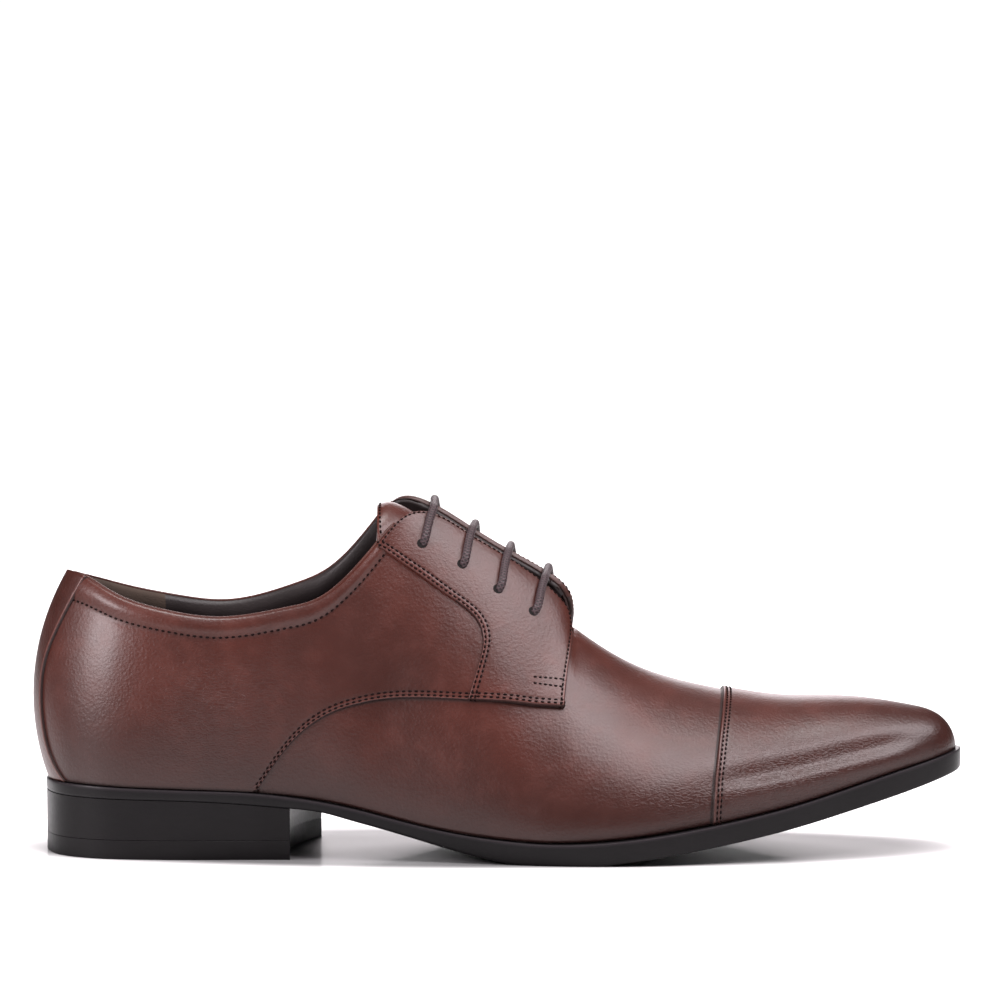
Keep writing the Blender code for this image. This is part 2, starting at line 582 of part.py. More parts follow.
def facing(name, side, material):
    """Eyelet facing: ruled from its rear seam to its front and lace edges."""
    rear = curve_of(seam_on(side, FACING_SEAM)[::-1])
    top = rear(1)[0][0]
    low = float(SEAM_T[side](LAST.front))
    s_rows = []
    t_rows = []
    shares = np.concatenate([FACING_CORNER * late(FACING_ROWS_LOW),
                             1 - (1 - FACING_CORNER) * late(FACING_ROWS_HIGH)[-2::-1]])
    for share in shares:
        back = rear(share)[0]
        if share <= FACING_CORNER:
            ahead = np.array([side * LAST.front, low + (1 - low) * share / FACING_CORNER])
        else:
            past = (share - FACING_CORNER) / (1 - FACING_CORNER)
            ahead = np.array([side * LAST.front + (top - side * LAST.front) * past, 1])
        across = late(FACING_COLUMNS)[:, None]
        line = back + across * (ahead - back)
        low_line = rear(0)[0][1] + across[:, 0] * (low - rear(0)[0][1])
        sag = np.maximum(1 - share / FACING_CORNER, 0) * (SEAM_T[side](line[:, 0]) - low_line)
        s_rows.append(line[:, 0])
        t_rows.append(line[:, 1] + sag)
    base = QUARTER_STEP + FACING_GAP
    return sheet(name, material, np.array(s_rows), np.array(t_rows), base + OVERLAY, base)


def back_strip(material):
    """Strip over the back seam, wider at its ends."""
    widths = Spline(*np.array(STRIP_WIDTH).T)
    t = np.linspace(0, 1, STRIP_ROWS)
    s_rows = []
    for share in t:
        width = float(widths(share)[0, 0]) * BALL_WIDTH
        reach = np.linspace(0, LAST.station["seat"], SAMPLES)
        line = np.interp(width, LAST.point(reach, share)[:, 1], reach)
        s_rows.append(np.linspace(-line, line, STRIP_COLUMNS))
    grid_t = np.tile(t[:, None], (1, STRIP_COLUMNS))
    base = QUARTER_STEP + GAP
    return sheet("back_strip", material, np.array(s_rows), grid_t, base + OVERLAY, base)


def tongue(material):
    """Curved sheet below the facings, with room for the lace between them."""
    start = LAST.front + TONGUE_UNDER
    end = LAST.station["top"] - TONGUE_TOP
    columns = []
    side_t = np.linspace(TONGUE_LOW, 1, TONGUE_SIDE_ROWS)
    inward = np.linspace(0, 1, TONGUE_SIDE_ROWS)
    for share in np.linspace(0, 1, TONGUE_COLUMNS):
        s = start + (end - start) * share
        depth = WALL + GAP + TONGUE_EASE + LACE_ROOM * np.clip(share / TONGUE_SINK, 0, 1) * inward
        lines = {side: LAST.offset(side * s, side_t, -depth) for side in (-1, 1)}
        if s > LAST.front:
            ridge_t = 1 + np.linspace(0, 1, ROWS_RIDGE + 1)[1:]
            under = -WALL - GAP - TONGUE_EASE
            over = [LAST.offset(-s, ridge_t, under), LAST.offset(s, ridge_t[:-1], under)[::-1]]
            middle = np.vstack(over)
        else:
            ends = [lines[-1][-1], lines[1][-1]]
            lean = [lines[side][-1] - lines[side][-2] for side in (-1, 1)]
            reach = np.linalg.norm(ends[1] - ends[0]) * TONGUE_ARCH
            lean = [way / np.linalg.norm(way) * reach for way in lean]
            controls = np.array([[ends[0], ends[0] + lean[0], ends[1] + lean[1], ends[1]]])
            places = np.linspace(0, 1, 2 * ROWS_RIDGE + 1)[1:-1]
            middle = np.vstack([bezier(controls, np.array([place])) for place in places])
        columns.append(np.vstack([lines[-1], middle, lines[1][::-1]]))
    outer = np.array(columns)
    along = np.gradient(outer, axis=0)
    across = np.gradient(outer, axis=1)
    normal = np.cross(along, across)
    normal /= np.linalg.norm(normal, axis=2)[:, :, None]
    if normal[:, :, 2].mean() < 0:
        normal = -normal
    inner = outer - normal * TONGUE_THICKNESS
    layers = [outer.reshape(-1, 3), inner.reshape(-1, 3)]
    return shell("tongue", material, layers, quads_of(*outer.shape[:2]))


def sole_curve(side):
    """Outline of the sole on one side, from the back to the toe, by the share of its length."""
    rows = scaled(SOLE_OUTLINE, SHOE_LENGTH, BALL_WIDTH, BALL_WIDTH)
    mean = np.stack([rows[:, 0], (rows[:, 1] + rows[:, 2]) / 2], axis=1)
    knots = np.concatenate([[0], np.cumsum(np.linalg.norm(np.diff(mean, axis=0), axis=1))])
    width = rows[:, 1] if side < 0 else rows[:, 2]
    before = slice(3, 0, -1)
    after = slice(-2, -5, -1)
    x = np.concatenate([rows[before, 0], rows[:, 0], rows[after, 0]])
    y = np.concatenate([-width[before], width, -width[after]])
    place = np.concatenate([-knots[before], knots, 2 * knots[-1] - knots[after]]) / knots[-1]
    curve = Spline(place, np.stack([x, side * y], axis=1))

    def inset(share, distance):
        small = 0.002
        along = curve(share + small) - curve(share - small)
        along /= np.linalg.norm(along, axis=1)[:, None]
        inward = np.stack([along[:, 1], -along[:, 0]], axis=1) * side
        return curve(share) + inward * distance

    return inset


SOLE_SIDE = {side: sole_curve(side) for side in (-1, 1)}


def slab(name, material, plans, heights):
    """Slab from its levels, the top one first. plans: for each level the plan points, columns by rows;
    heights: for each level its height as a function of x."""
    columns, rows, _ = plans[0].shape
    layers = []
    for plan, height in zip(plans, heights):
        flat = plan.reshape(-1, 2)
        layers.append(np.column_stack([flat, height(flat[:, 0])]))
    return shell(name, material, layers, quads_of(columns, rows))


def sole_plan(distance, shares):
    """Plan points of the sole's outline moved inwards by a distance, with points between its sides."""
    left = SOLE_SIDE[-1](shares, distance)
    right = SOLE_SIDE[1](shares, distance)
    for end in (0, -1):
        left[end] = right[end] = (left[end] + right[end]) / 2
    across = np.linspace(0, 1, ACROSS + 1)[None, :, None]
    return left[:, None] + across * (right - left)[:, None]


def crowded(count):
    """Shares from 0 to 1 that lie closer together at both ends."""
    return (1 - np.cos(np.linspace(0, math.pi, count))) / 2


def outsole(material):
    """Slab of the sole with its arch and toe spring, flat on the floor below the ball."""
    shares = (crowded(SOLE_STATIONS) + 2 * np.linspace(0, 1, SOLE_STATIONS)) / 3
    insets = (SOLE_ROUNDING * 0.7, SOLE_ROUNDING / 4, 0, SOLE_ROUNDING * 0.6)
    heights = (sole_top, lambda x: sole_top(x) - SOLE_ROUNDING,
               lambda x: sole_bottom(x) + SOLE_ROUNDING, sole_bottom)
    return slab("outsole", material, [sole_plan(inset, shares) for inset in insets], heights)


def insole(material):
    """Footbed sheet inside the upper."""
    s = LAST.tip * late(INSOLE_COLUMNS)
    across = np.linspace(0, 1, ACROSS + 1)[None, :, None]
    plans = []
    for distance in (WALL + GAP + INSOLE_EASE, WALL + 2 * GAP):
        left = LAST.offset(-s, 0, -distance)[:, :2]
        right = LAST.offset(s, 0, -distance)[:, :2]
        left[[0, -1]] = right[[0, -1]]
        plans.append(left[:, None] + across * (right - left)[:, None])
    return slab("insole", material, plans,
                (lambda x: sole_top(x) + GAP + INSOLE_THICKNESS, lambda x: sole_top(x) + GAP))


def heel_plan(distance):
    """Plan points of the heel: the sole's outline, cut off by a hollow breast."""
    shares = np.linspace(0, 1, 5 * SAMPLES)
    columns = []
    for side, breast in ((-1, BREAST_LATERAL), (1, BREAST_MEDIAL)):
        line = SOLE_SIDE[side](shares, distance)
        rear = line[:, 0] < SHOE_LENGTH / 2
        end = np.interp(breast * SHOE_LENGTH, line[rear, 0], shares[rear])
        columns.append(SOLE_SIDE[side](end * np.linspace(0, 1, HEEL_STATIONS), distance))
    left, right = columns
    left[0] = right[0] = (left[0] + right[0]) / 2
    across = np.linspace(0, 1, ACROSS + 1)
    plan = left[:, None] + across[None, :, None] * (right - left)[:, None]
    hollow = BREAST_HOLLOW * (1 - (2 * across - 1) ** 2)
    plan[:, :, 0] -= np.linspace(0, 1, HEEL_STATIONS)[:, None] ** 2 * hollow[None, :]
    return plan


def heel_block(material):
    """Heel stack between the sole and the wearing piece."""
    plans = [heel_plan(HEEL_INSET), heel_plan(HEEL_INSET + HEEL_TAPER)]
    return slab("heel_block", material, plans,
                (lambda x: sole_bottom(x) - GAP, lambda x: 0 * x + TOP_PIECE_THICKNESS + GAP))


def heel_top_piece(material):
    """Wearing piece of the heel, flat on the floor."""
    inset = HEEL_INSET + HEEL_TAPER
    plans = [heel_plan(inset), heel_plan(inset), heel_plan(inset + SOLE_ROUNDING)]
    return slab("heel_top_piece", material, plans,
                (lambda x: 0 * x + TOP_PIECE_THICKNESS, lambda x: 0 * x + SOLE_ROUNDING, lambda x: 0 * x))


def cord(name, material, route, diameter):
    """Round cord along a route of points, closed at both ends."""
    route = np.asarray(route)
    along = np.gradient(route, axis=0)
    along /= np.linalg.norm(along, axis=1)[:, None]
    forward = np.array([1.0, 0, 0])
    angle = np.linspace(0, 2 * math.pi, CORD_SIDES, endpoint=False)
    points = []
    for place, direction in zip(route, along):
        side = forward - direction * (forward @ direction)
        side /= np.linalg.norm(side)
        up = np.cross(direction, side)
        points += [place + diameter / 2 * (math.cos(a) * side + math.sin(a) * up) for a in angle]
    faces = []
    for ring in range(len(route) - 1):
        for i in range(CORD_SIDES):
            n = (i + 1) % CORD_SIDES
            faces.append([ring * CORD_SIDES + i, ring * CORD_SIDES + n,
                          (ring + 1) * CORD_SIDES + n, (ring + 1) * CORD_SIDES + i])
    faces.append(list(range(CORD_SIDES))[::-1])
    faces.append([(len(route) - 1) * CORD_SIDES + i for i in range(CORD_SIDES)])
    return solid(name, material, points, faces)


def lace_bar(number, place, material):
    """Straight bar of lace from one eyelet over both facings to the other eyelet."""
    base = QUARTER_STEP + FACING_GAP + OVERLAY + LACE_EASE + LACE_DIAMETER / 2
    s, t = LAST.locate(-1, place[0] * SHOE_LENGTH, place[1] * INSTEP_HEIGHT)
    lean = place[2] * SHOE_LENGTH
    shares = np.linspace(t, 1, LACE_POINTS)
    skew = lean * np.linspace(0, LACE_TURN, LACE_POINTS)
    left = LAST.offset(s - skew, shares, base)
    right = LAST.offset(-s + lean - skew, shares, base)[::-1]
    controls = np.array([[left[-1], left[-1] + (left[-1] - left[-2]) / 2,
                          right[0] + (right[0] - right[1]) / 2, right[0]]])
    middle = bezier(np.repeat(controls, 3, axis=0), np.array([0.25, 0.5, 0.75]))
    return cord(f"lace_bar_{number}", material, np.vstack([left, middle, right]), LACE_DIAMETER)


def principled(name, colour, roughness):
    material = bpy.data.materials.new(name)
    material.use_nodes = True
    shader = material.node_tree.nodes["Principled BSDF"]
    shader.inputs["Base Color"].default_value = (*colour, 1)
    shader.inputs["Roughness"].default_value = roughness
    shader.inputs["Metallic"].default_value = 0
    return material


def place_at_origin(made):
    """Parent every piece to an empty that puts the whole shoe's box centre over the origin."""
    corners = np.vstack([np.array([vertex.co for vertex in piece.data.vertices]) for piece in made])
    low, high = corners.min(axis=0), corners.max(axis=0)
    shoe = bpy.data.objects.new("derby_shoe", None)
    shoe.location = (-(low[0] + high[0]) / 2, -(low[1] + high[1]) / 2, -low[2])
    bpy.context.scene.collection.objects.link(shoe)
    for piece in made:
        piece.parent = shoe


def main():
    for old in list(bpy.data.objects):
        bpy.data.objects.remove(old, do_unlink=True)
    leather = principled("brown_calf", (0.150, 0.045, 0.022), 0.35)
    rubber = principled("black_sole", (0.012, 0.012, 0.013), 0.40)
    footbed = principled("black_footbed", (0.015, 0.014, 0.014), 0.60)
    lace = principled("brown_lace", (0.110, 0.065, 0.055), 0.70)
    made = [upper(leather), toe_cap(leather), back_strip(leather), tongue(leather),
            facing("facing_lateral", -1, leather), facing("facing_medial", 1, leather),
            insole(footbed), outsole(rubber), heel_block(rubber), heel_top_piece(rubber)]
    made += [lace_bar(number, place, lace) for number, place in enumerate(EYELETS, 1)]
    place_at_origin(made)


main()
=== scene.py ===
"""Finished look of the right derby shoe: leather panels, seams, lace, lining and sole."""
import math

import bmesh
import bpy
import numpy as np
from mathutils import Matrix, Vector


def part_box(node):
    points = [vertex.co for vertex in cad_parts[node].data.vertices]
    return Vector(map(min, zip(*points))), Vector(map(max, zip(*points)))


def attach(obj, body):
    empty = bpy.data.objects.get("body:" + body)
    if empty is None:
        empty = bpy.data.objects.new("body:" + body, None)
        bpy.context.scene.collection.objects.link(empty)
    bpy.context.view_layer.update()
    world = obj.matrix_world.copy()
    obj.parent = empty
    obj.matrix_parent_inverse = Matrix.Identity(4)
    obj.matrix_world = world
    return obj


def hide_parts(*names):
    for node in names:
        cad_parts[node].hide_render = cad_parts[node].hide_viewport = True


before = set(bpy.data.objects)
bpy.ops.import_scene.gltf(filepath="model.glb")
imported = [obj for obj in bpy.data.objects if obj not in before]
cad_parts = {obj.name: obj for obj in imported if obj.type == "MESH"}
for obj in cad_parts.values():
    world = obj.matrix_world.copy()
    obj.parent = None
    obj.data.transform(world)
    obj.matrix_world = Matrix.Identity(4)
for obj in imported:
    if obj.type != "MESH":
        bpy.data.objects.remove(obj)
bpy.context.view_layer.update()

# Driving sizes of the shoe
SHOE_LENGTH = 0.310
BALL_WIDTH = 0.100
INSTEP_HEIGHT = 0.119

# Thicknesses and clearances
WALL = 0.0016
QUARTER_STEP = 0.0009
OVERLAY = 0.0007
GAP = 0.00035
FACING_GAP = 0.00050
TONGUE_EASE = 0.0007
TONGUE_THICKNESS = 0.0018
INSOLE_THICKNESS = 0.0030
TOP_PIECE_THICKNESS = 0.0065
LACE_DIAMETER = 0.0028
LACE_ROOM = 0.0034
HEEL_INSET = 0.0001
HEEL_TAPER = 0.0001
BREAST_HOLLOW = 0.0050

# Mesh counts
ACROSS = 10
HEEL_STATIONS = 60
SAMPLES = 40
WELD = 5e-7

# Sole seen from the side. place and heights: shares of SHOE_LENGTH and INSTEP_HEIGHT
SOLE_TOP = (
    (0.0000, 0.2059), (0.0452, 0.2042), (0.0871, 0.2000), (0.1806, 0.1916), (0.2290, 0.1857),
    (0.2710, 0.1739), (0.3032, 0.1613), (0.3452, 0.1387), (0.3839, 0.1143), (0.4258, 0.0908),
    (0.4548, 0.0782), (0.4903, 0.0672), (0.5290, 0.0597), (0.5677, 0.0588), (0.6161, 0.0664),
    (0.6677, 0.0824), (0.7097, 0.0992), (0.7613, 0.1227), (0.8194, 0.1555), (0.8742, 0.1958),
    (0.9323, 0.2403), (0.9774, 0.2731), (1.0000, 0.2899),
)
SOLE_BOTTOM = (
    (0.0000, 0.1723), (0.0968, 0.1672), (0.1806, 0.1613), (0.2710, 0.1429), (0.3065, 0.1311),
    (0.3355, 0.1109), (0.3677, 0.0891), (0.4000, 0.0664), (0.4258, 0.0479), (0.4548, 0.0286),
    (0.4903, 0.0092), (0.5161, 0.0000), (0.5355, -0.0034), (0.5806, -0.0034), (0.6000, 0.0000),
    (0.6161, 0.0050), (0.6677, 0.0227), (0.7097, 0.0395), (0.7613, 0.0630), (0.8161, 0.0924),
    (0.8742, 0.1319), (0.9323, 0.1756), (0.9774, 0.2126), (1.0000, 0.2319),
)

# Sole seen from below. place: share of SHOE_LENGTH; lateral, medial: shares of BALL_WIDTH
SOLE_OUTLINE = (
    (0.0000, 0.0000, 0.0000), (0.0065, 0.1200, 0.1200), (0.0161, 0.1900, 0.1900), (0.0323, 0.2500, 0.2500),
    (0.0645, 0.3100, 0.3050), (0.1129, 0.3400, 0.3350), (0.1613, 0.3450, 0.3300), (0.2258, 0.3400, 0.3100),
    (0.2903, 0.3400, 0.2850), (0.3548, 0.3550, 0.2700), (0.4194, 0.3950, 0.2900), (0.4839, 0.4500, 0.3400),
    (0.5484, 0.5000, 0.4050), (0.5968, 0.5160, 0.4500), (0.6452, 0.5140, 0.4750), (0.6774, 0.5000, 0.4800),
    (0.7161, 0.4680, 0.4660), (0.7742, 0.4060, 0.4180), (0.8387, 0.3280, 0.3480), (0.9032, 0.2530, 0.2740),
    (0.9516, 0.1920, 0.2100), (0.9774, 0.1420, 0.1600), (0.9935, 0.0840, 0.0950), (1.0000, 0.0000, 0.0000),
)

# Ribs of the quarters, from the feather line to the topline or the lace edge.
# foot_x, edge_x: shares of SHOE_LENGTH; foot_y, out, edge_y, edge_out: shares of BALL_WIDTH;
# up, edge_z, edge_down: shares of INSTEP_HEIGHT; fan: degrees from straight back
QUARTER_COLUMNS = ("name", "fan", "foot_x", "foot_y", "out", "up",
                   "edge_x", "edge_y", "edge_z", "edge_out", "edge_down")
BACK_RIB = (("back", 0, 0.0084, 0.0000, 0.0680, 0.1513, 0.0287, 0.0000, 0.7857, 0.1490, 0.2185),)
LATERAL_QUARTER = (
    ("diagonal", 45, 0.0348, 0.2200, 0.0400, 0.1345, 0.0503, 0.1150, 0.7756, 0.0900, 0.2017),
    ("hollow", 75, 0.0774, 0.2960, 0.0300, 0.1261, 0.0855, 0.1980, 0.7294, 0.0750, 0.1849),
    ("seat", 90, 0.1355, 0.3180, 0.0250, 0.1176, 0.1387, 0.2500, 0.6908, 0.0700, 0.1765),
    ("ankle", 90, 0.2000, 0.3180, 0.0200, 0.1176, 0.2000, 0.2680, 0.6739, 0.0550, 0.1681),
    ("breast", 90, 0.2710, 0.3100, 0.0200, 0.1345, 0.2710, 0.2700, 0.7025, 0.0450, 0.1849),
    ("waist", 90, 0.3355, 0.3200, 0.0300, 0.1681, 0.3290, 0.2420, 0.7798, 0.0500, 0.2101),
    ("top_back", 90, 0.3613, 0.3320, 0.0300, 0.1849, 0.3600, 0.1900, 0.8672, 0.0600, 0.2101),
    ("top", 90, 0.3839, 0.3480, 0.0320, 0.2017, 0.3826, 0.1320, 0.9328, 0.0900, 0.1765),
    ("top_front", 90, 0.4129, 0.3720, 0.0340, 0.2101, 0.4113, 0.0760, 0.9546, 0.1300, 0.1092),
    ("second", 90, 0.4613, 0.4120, 0.0400, 0.2101, 0.4606, 0.0630, 0.8891, 0.1400, 0.0840),
    ("fourth", 90, 0.5161, 0.4520, 0.0400, 0.1849, 0.5168, 0.0600, 0.7950, 0.1400, 0.0756),
    ("corner", 90, 0.5335, 0.4640, 0.0400, 0.1723, 0.5461, 0.0600, 0.7361, 0.1300, 0.0756),
    ("shoulder", 90, 0.5445, 0.4720, 0.0400, 0.1681, 0.5648, 0.0640, 0.6790, 0.1400, 0.0672),
)
MEDIAL_QUARTER = (
    ("diagonal", 45, 0.0348, 0.2180, 0.0400, 0.1345, 0.0503, 0.1150, 0.7647, 0.0900, 0.2017),
    ("hollow", 75, 0.0774, 0.2900, 0.0300, 0.1261, 0.0855, 0.1980, 0.7345, 0.0750, 0.1849),
    ("seat", 90, 0.1355, 0.3080, 0.0250, 0.1176, 0.1387, 0.2460, 0.7042, 0.0700, 0.1765),
    ("ankle", 90, 0.2000, 0.2960, 0.0260, 0.1176, 0.2000, 0.2640, 0.6916, 0.0600, 0.1681),
    ("breast", 90, 0.2710, 0.2660, 0.0400, 0.1513, 0.2710, 0.2680, 0.7395, 0.0450, 0.1849),
    ("waist", 90, 0.3355, 0.2500, 0.0600, 0.2017, 0.3290, 0.2500, 0.8353, 0.0500, 0.2101),
    ("top_back", 90, 0.3613, 0.2520, 0.0700, 0.2185, 0.3568, 0.2200, 0.9210, 0.0700, 0.2101),
    ("top", 90, 0.3839, 0.2640, 0.0800, 0.2353, 0.3781, 0.1760, 0.9798, 0.0900, 0.1513),
    ("top_front", 90, 0.4129, 0.2840, 0.0900, 0.2353, 0.4065, 0.1400, 0.9815, 0.1100, 0.1008),
    ("second", 90, 0.4613, 0.3200, 0.0900, 0.2185, 0.4606, 0.1290, 0.9008, 0.1200, 0.0756),
    ("fourth", 90, 0.5161, 0.3660, 0.0800, 0.2017, 0.5168, 0.1230, 0.8134, 0.1200, 0.0756),
    ("corner", 90, 0.5335, 0.3800, 0.0720, 0.1891, 0.5484, 0.1200, 0.7647, 0.1200, 0.0756),
    ("shoulder", 90, 0.5445, 0.3900, 0.0700, 0.1849, 0.5690, 0.1200, 0.7059, 0.1200, 0.0672),
)

# Ribs of the vamp, from the feather line to the ridge.
# foot_x: share of SHOE_LENGTH; foot_y, out, side: shares of BALL_WIDTH; up: share of INSTEP_HEIGHT;
# cut: where on the rib the line of the lace edge runs on
VAMP_COLUMNS = ("name", "foot_x", "foot_y", "out", "up", "side", "cut")
LATERAL_VAMP = (
    ("front", 0.5542, 0.4830, 0.0300, 0.1345, 0.3300, 0.885),
    ("ball", 0.6516, 0.4800, 0.0380, 0.1513, 0.2600, 0.84),
    ("cap", 0.7216, 0.4300, 0.0400, 0.1429, 0.2300, 0.83),
    ("cap_back", 0.7935, 0.3540, 0.0320, 0.1303, 0.2000, 0.82),
    ("toe", 0.8710, 0.2660, 0.0240, 0.1092, 0.1650, 0.82),
    ("toe_corner", 0.9355, 0.1900, 0.0180, 0.0840, 0.1200, 0.82),
    ("nose", 0.9742, 0.1200, 0.0120, 0.0546, 0.0800, 0.82),
    ("tip", 0.9916, 0.0000, 0.0000, 0.0000, 0.0000, 0.82),
)
MEDIAL_VAMP = (
    ("front", 0.5542, 0.3960, 0.0600, 0.1765, 0.2400, 0.88),
    ("ball", 0.6516, 0.4560, 0.0450, 0.1765, 0.2400, 0.87),
    ("cap", 0.7216, 0.4300, 0.0360, 0.1513, 0.2400, 0.85),
    ("cap_back", 0.7935, 0.3720, 0.0300, 0.1345, 0.2100, 0.84),
    ("toe", 0.8710, 0.2880, 0.0240, 0.1134, 0.1750, 0.83),
    ("toe_corner", 0.9355, 0.2120, 0.0180, 0.0840, 0.1300, 0.82),
    ("nose", 0.9742, 0.1380, 0.0120, 0.0546, 0.0850, 0.82),
    ("tip", 0.9916, 0.0000, 0.0000, 0.0000, 0.0000, 0.82),
)
# Ridge of the vamp: shares of SHOE_LENGTH, BALL_WIDTH and, above the sole, INSTEP_HEIGHT
RIDGE_COLUMNS = ("name", "ridge_x", "ridge_y", "rise")
RIDGE = (
    ("front", 0.5781, 0.0500, 0.5613),
    ("ball", 0.6613, 0.0480, 0.4166),
    ("cap", 0.7397, 0.0440, 0.3330),
    ("cap_back", 0.8065, 0.0400, 0.2737),
    ("toe", 0.8806, 0.0340, 0.2168),
    ("toe_corner", 0.9419, 0.0280, 0.1484),
    ("nose", 0.9761, 0.0200, 0.0942),
    ("tip", 0.9916, 0.0100, 0.0000),
)

# Seams on the outer side, as place and height: shares of SHOE_LENGTH and INSTEP_HEIGHT
QUARTER_SEAM = (
    (0.5639, 0.4244), (0.5448, 0.4269), (0.5119, 0.4387), (0.4561, 0.4487), (0.4161, 0.4521),
    (0.3813, 0.4496), (0.3513, 0.4387), (0.3245, 0.4202), (0.3039, 0.3950), (0.2881, 0.3664),
    (0.2742, 0.3328), (0.2613, 0.2924), (0.2484, 0.2454), (0.2387, 0.2067), (0.2323, 0.1840),
)
FACING_SEAM = (
    (0.3642, 0.8622), (0.3948, 0.8101), (0.4242, 0.7563), (0.4487, 0.7118), (0.4648, 0.6807),
    (0.4742, 0.6454), (0.4774, 0.6059), (0.4748, 0.5655), (0.4694, 0.5202), (0.4619, 0.4622),
)
# Half width of the back strip at shares of its height: shares of BALL_WIDTH
STRIP_WIDTH = (
    (0.00, 0.205), (0.15, 0.155), (0.30, 0.125), (0.45, 0.106), (0.60, 0.097), (0.75, 0.107), (1.00, 0.114),
)
# Heel breast at its outer and inner corner: shares of SHOE_LENGTH
BREAST_LATERAL = 0.271
BREAST_MEDIAL = 0.297
# Eyelets as place and height on the outer side, and how much further forward the bar's inner end lies:
# shares of SHOE_LENGTH, INSTEP_HEIGHT and SHOE_LENGTH
EYELETS = (
    (0.4110, 0.8685, 0.0210), (0.4536, 0.8100, 0.0190), (0.4921, 0.7400, 0.0188), (0.5294, 0.6765, 0.0125),
)
# Part of that forward lean that each end makes before the edges
LACE_TURN = 0.4
# Share of the facing's rear seam that lies opposite its front edge
FACING_CORNER = 0.42
# Tongue: how far down each side, how far under the vamp, its upper end past the facing and its arch
TONGUE_LOW = 0.62
TONGUE_UNDER = 0.010
TONGUE_TOP = 0.0045
TONGUE_ARCH = 0.36
# Share of the tongue's length over which it sinks to leave room for the lace
TONGUE_SINK = 0.2
# Power that draws shares closer together towards an edge
CROWDING = 1.5


class Spline:
    """Natural cubic spline through rows of values."""

    def __init__(self, knots, rows):
        self.knots = np.asarray(knots, float)
        self.rows = np.asarray(rows, float).reshape(len(self.knots), -1)
        step = np.diff(self.knots)
        slope = np.diff(self.rows, axis=0) / step[:, None]
        matrix = np.eye(len(self.knots))
        right = np.zeros_like(self.rows)
        for i in range(1, len(self.knots) - 1):
            matrix[i, i - 1:i + 2] = step[i - 1], 2 * (step[i - 1] + step[i]), step[i]
            right[i] = 6 * (slope[i] - slope[i - 1])
        self.bend = np.linalg.solve(matrix, right)

    def __call__(self, place):
        place = np.atleast_1d(np.asarray(place, float))
        i = np.clip(np.searchsorted(self.knots, place) - 1, 0, len(self.knots) - 2)
        step = (self.knots[i + 1] - self.knots[i])[:, None]
        after = (place - self.knots[i])[:, None] / step
        before = 1 - after
        return (before * self.rows[i] + after * self.rows[i + 1]
                + step ** 2 / 6 * ((before ** 3 - before) * self.bend[i]
                                   + (after ** 3 - after) * self.bend[i + 1]))


def scaled(rows, *sizes):
    """Rows of shares as lengths, each column by its own named size."""
    return np.asarray(rows, float) * np.asarray(sizes)


def profile(rows):
    """Height above the floor as a function of the place along the shoe."""
    lengths = scaled(rows, SHOE_LENGTH, INSTEP_HEIGHT)
    curve = Spline(lengths[:, 0], lengths[:, 1])
    return lambda x: np.maximum(curve(np.clip(x, 0, SHOE_LENGTH))[:, 0], 0)


sole_top = profile(SOLE_TOP)
sole_bottom = profile(SOLE_BOTTOM)


def named(table, columns, sizes):
    """Table with a name in its first column as one dictionary of arrays."""
    values = {"name": [row[0] for row in table]}
    for i, column in enumerate(columns[1:], 1):
        values[column] = np.array([row[i] for row in table]) * sizes.get(column, 1)
    return values


QUARTER_SIZES = {"foot_x": SHOE_LENGTH, "edge_x": SHOE_LENGTH, "foot_y": BALL_WIDTH, "out": BALL_WIDTH,
                 "edge_y": BALL_WIDTH, "edge_out": BALL_WIDTH, "up": INSTEP_HEIGHT,
                 "edge_z": INSTEP_HEIGHT, "edge_down": INSTEP_HEIGHT}
VAMP_SIZES = {"foot_x": SHOE_LENGTH, "foot_y": BALL_WIDTH, "out": BALL_WIDTH, "side": BALL_WIDTH,
              "up": INSTEP_HEIGHT}
RIDGE_SIZES = {"ridge_x": SHOE_LENGTH, "ridge_y": BALL_WIDTH, "rise": INSTEP_HEIGHT}


def bezier(controls, share):
    """Points of cubics at shares of their run."""
    share = share[:, None]
    rest = 1 - share
    return (rest ** 3 * controls[:, 0] + 3 * rest ** 2 * share * controls[:, 1]
            + 3 * rest * share ** 2 * controls[:, 2] + share ** 3 * controls[:, 3])


def split(controls, share):
    """Cubics of four points cut in two that share their middle point: seven points each."""
    share = share[:, None]
    first = controls[:, 0] + share * (controls[:, 1] - controls[:, 0])
    middle = controls[:, 1] + share * (controls[:, 2] - controls[:, 1])
    last = controls[:, 2] + share * (controls[:, 3] - controls[:, 2])
    before = first + share * (middle - first)
    after = middle + share * (last - middle)
    cut = before + share * (after - before)
    return np.stack([controls[:, 0], first, before, cut, after, last, controls[:, 3]], axis=1)


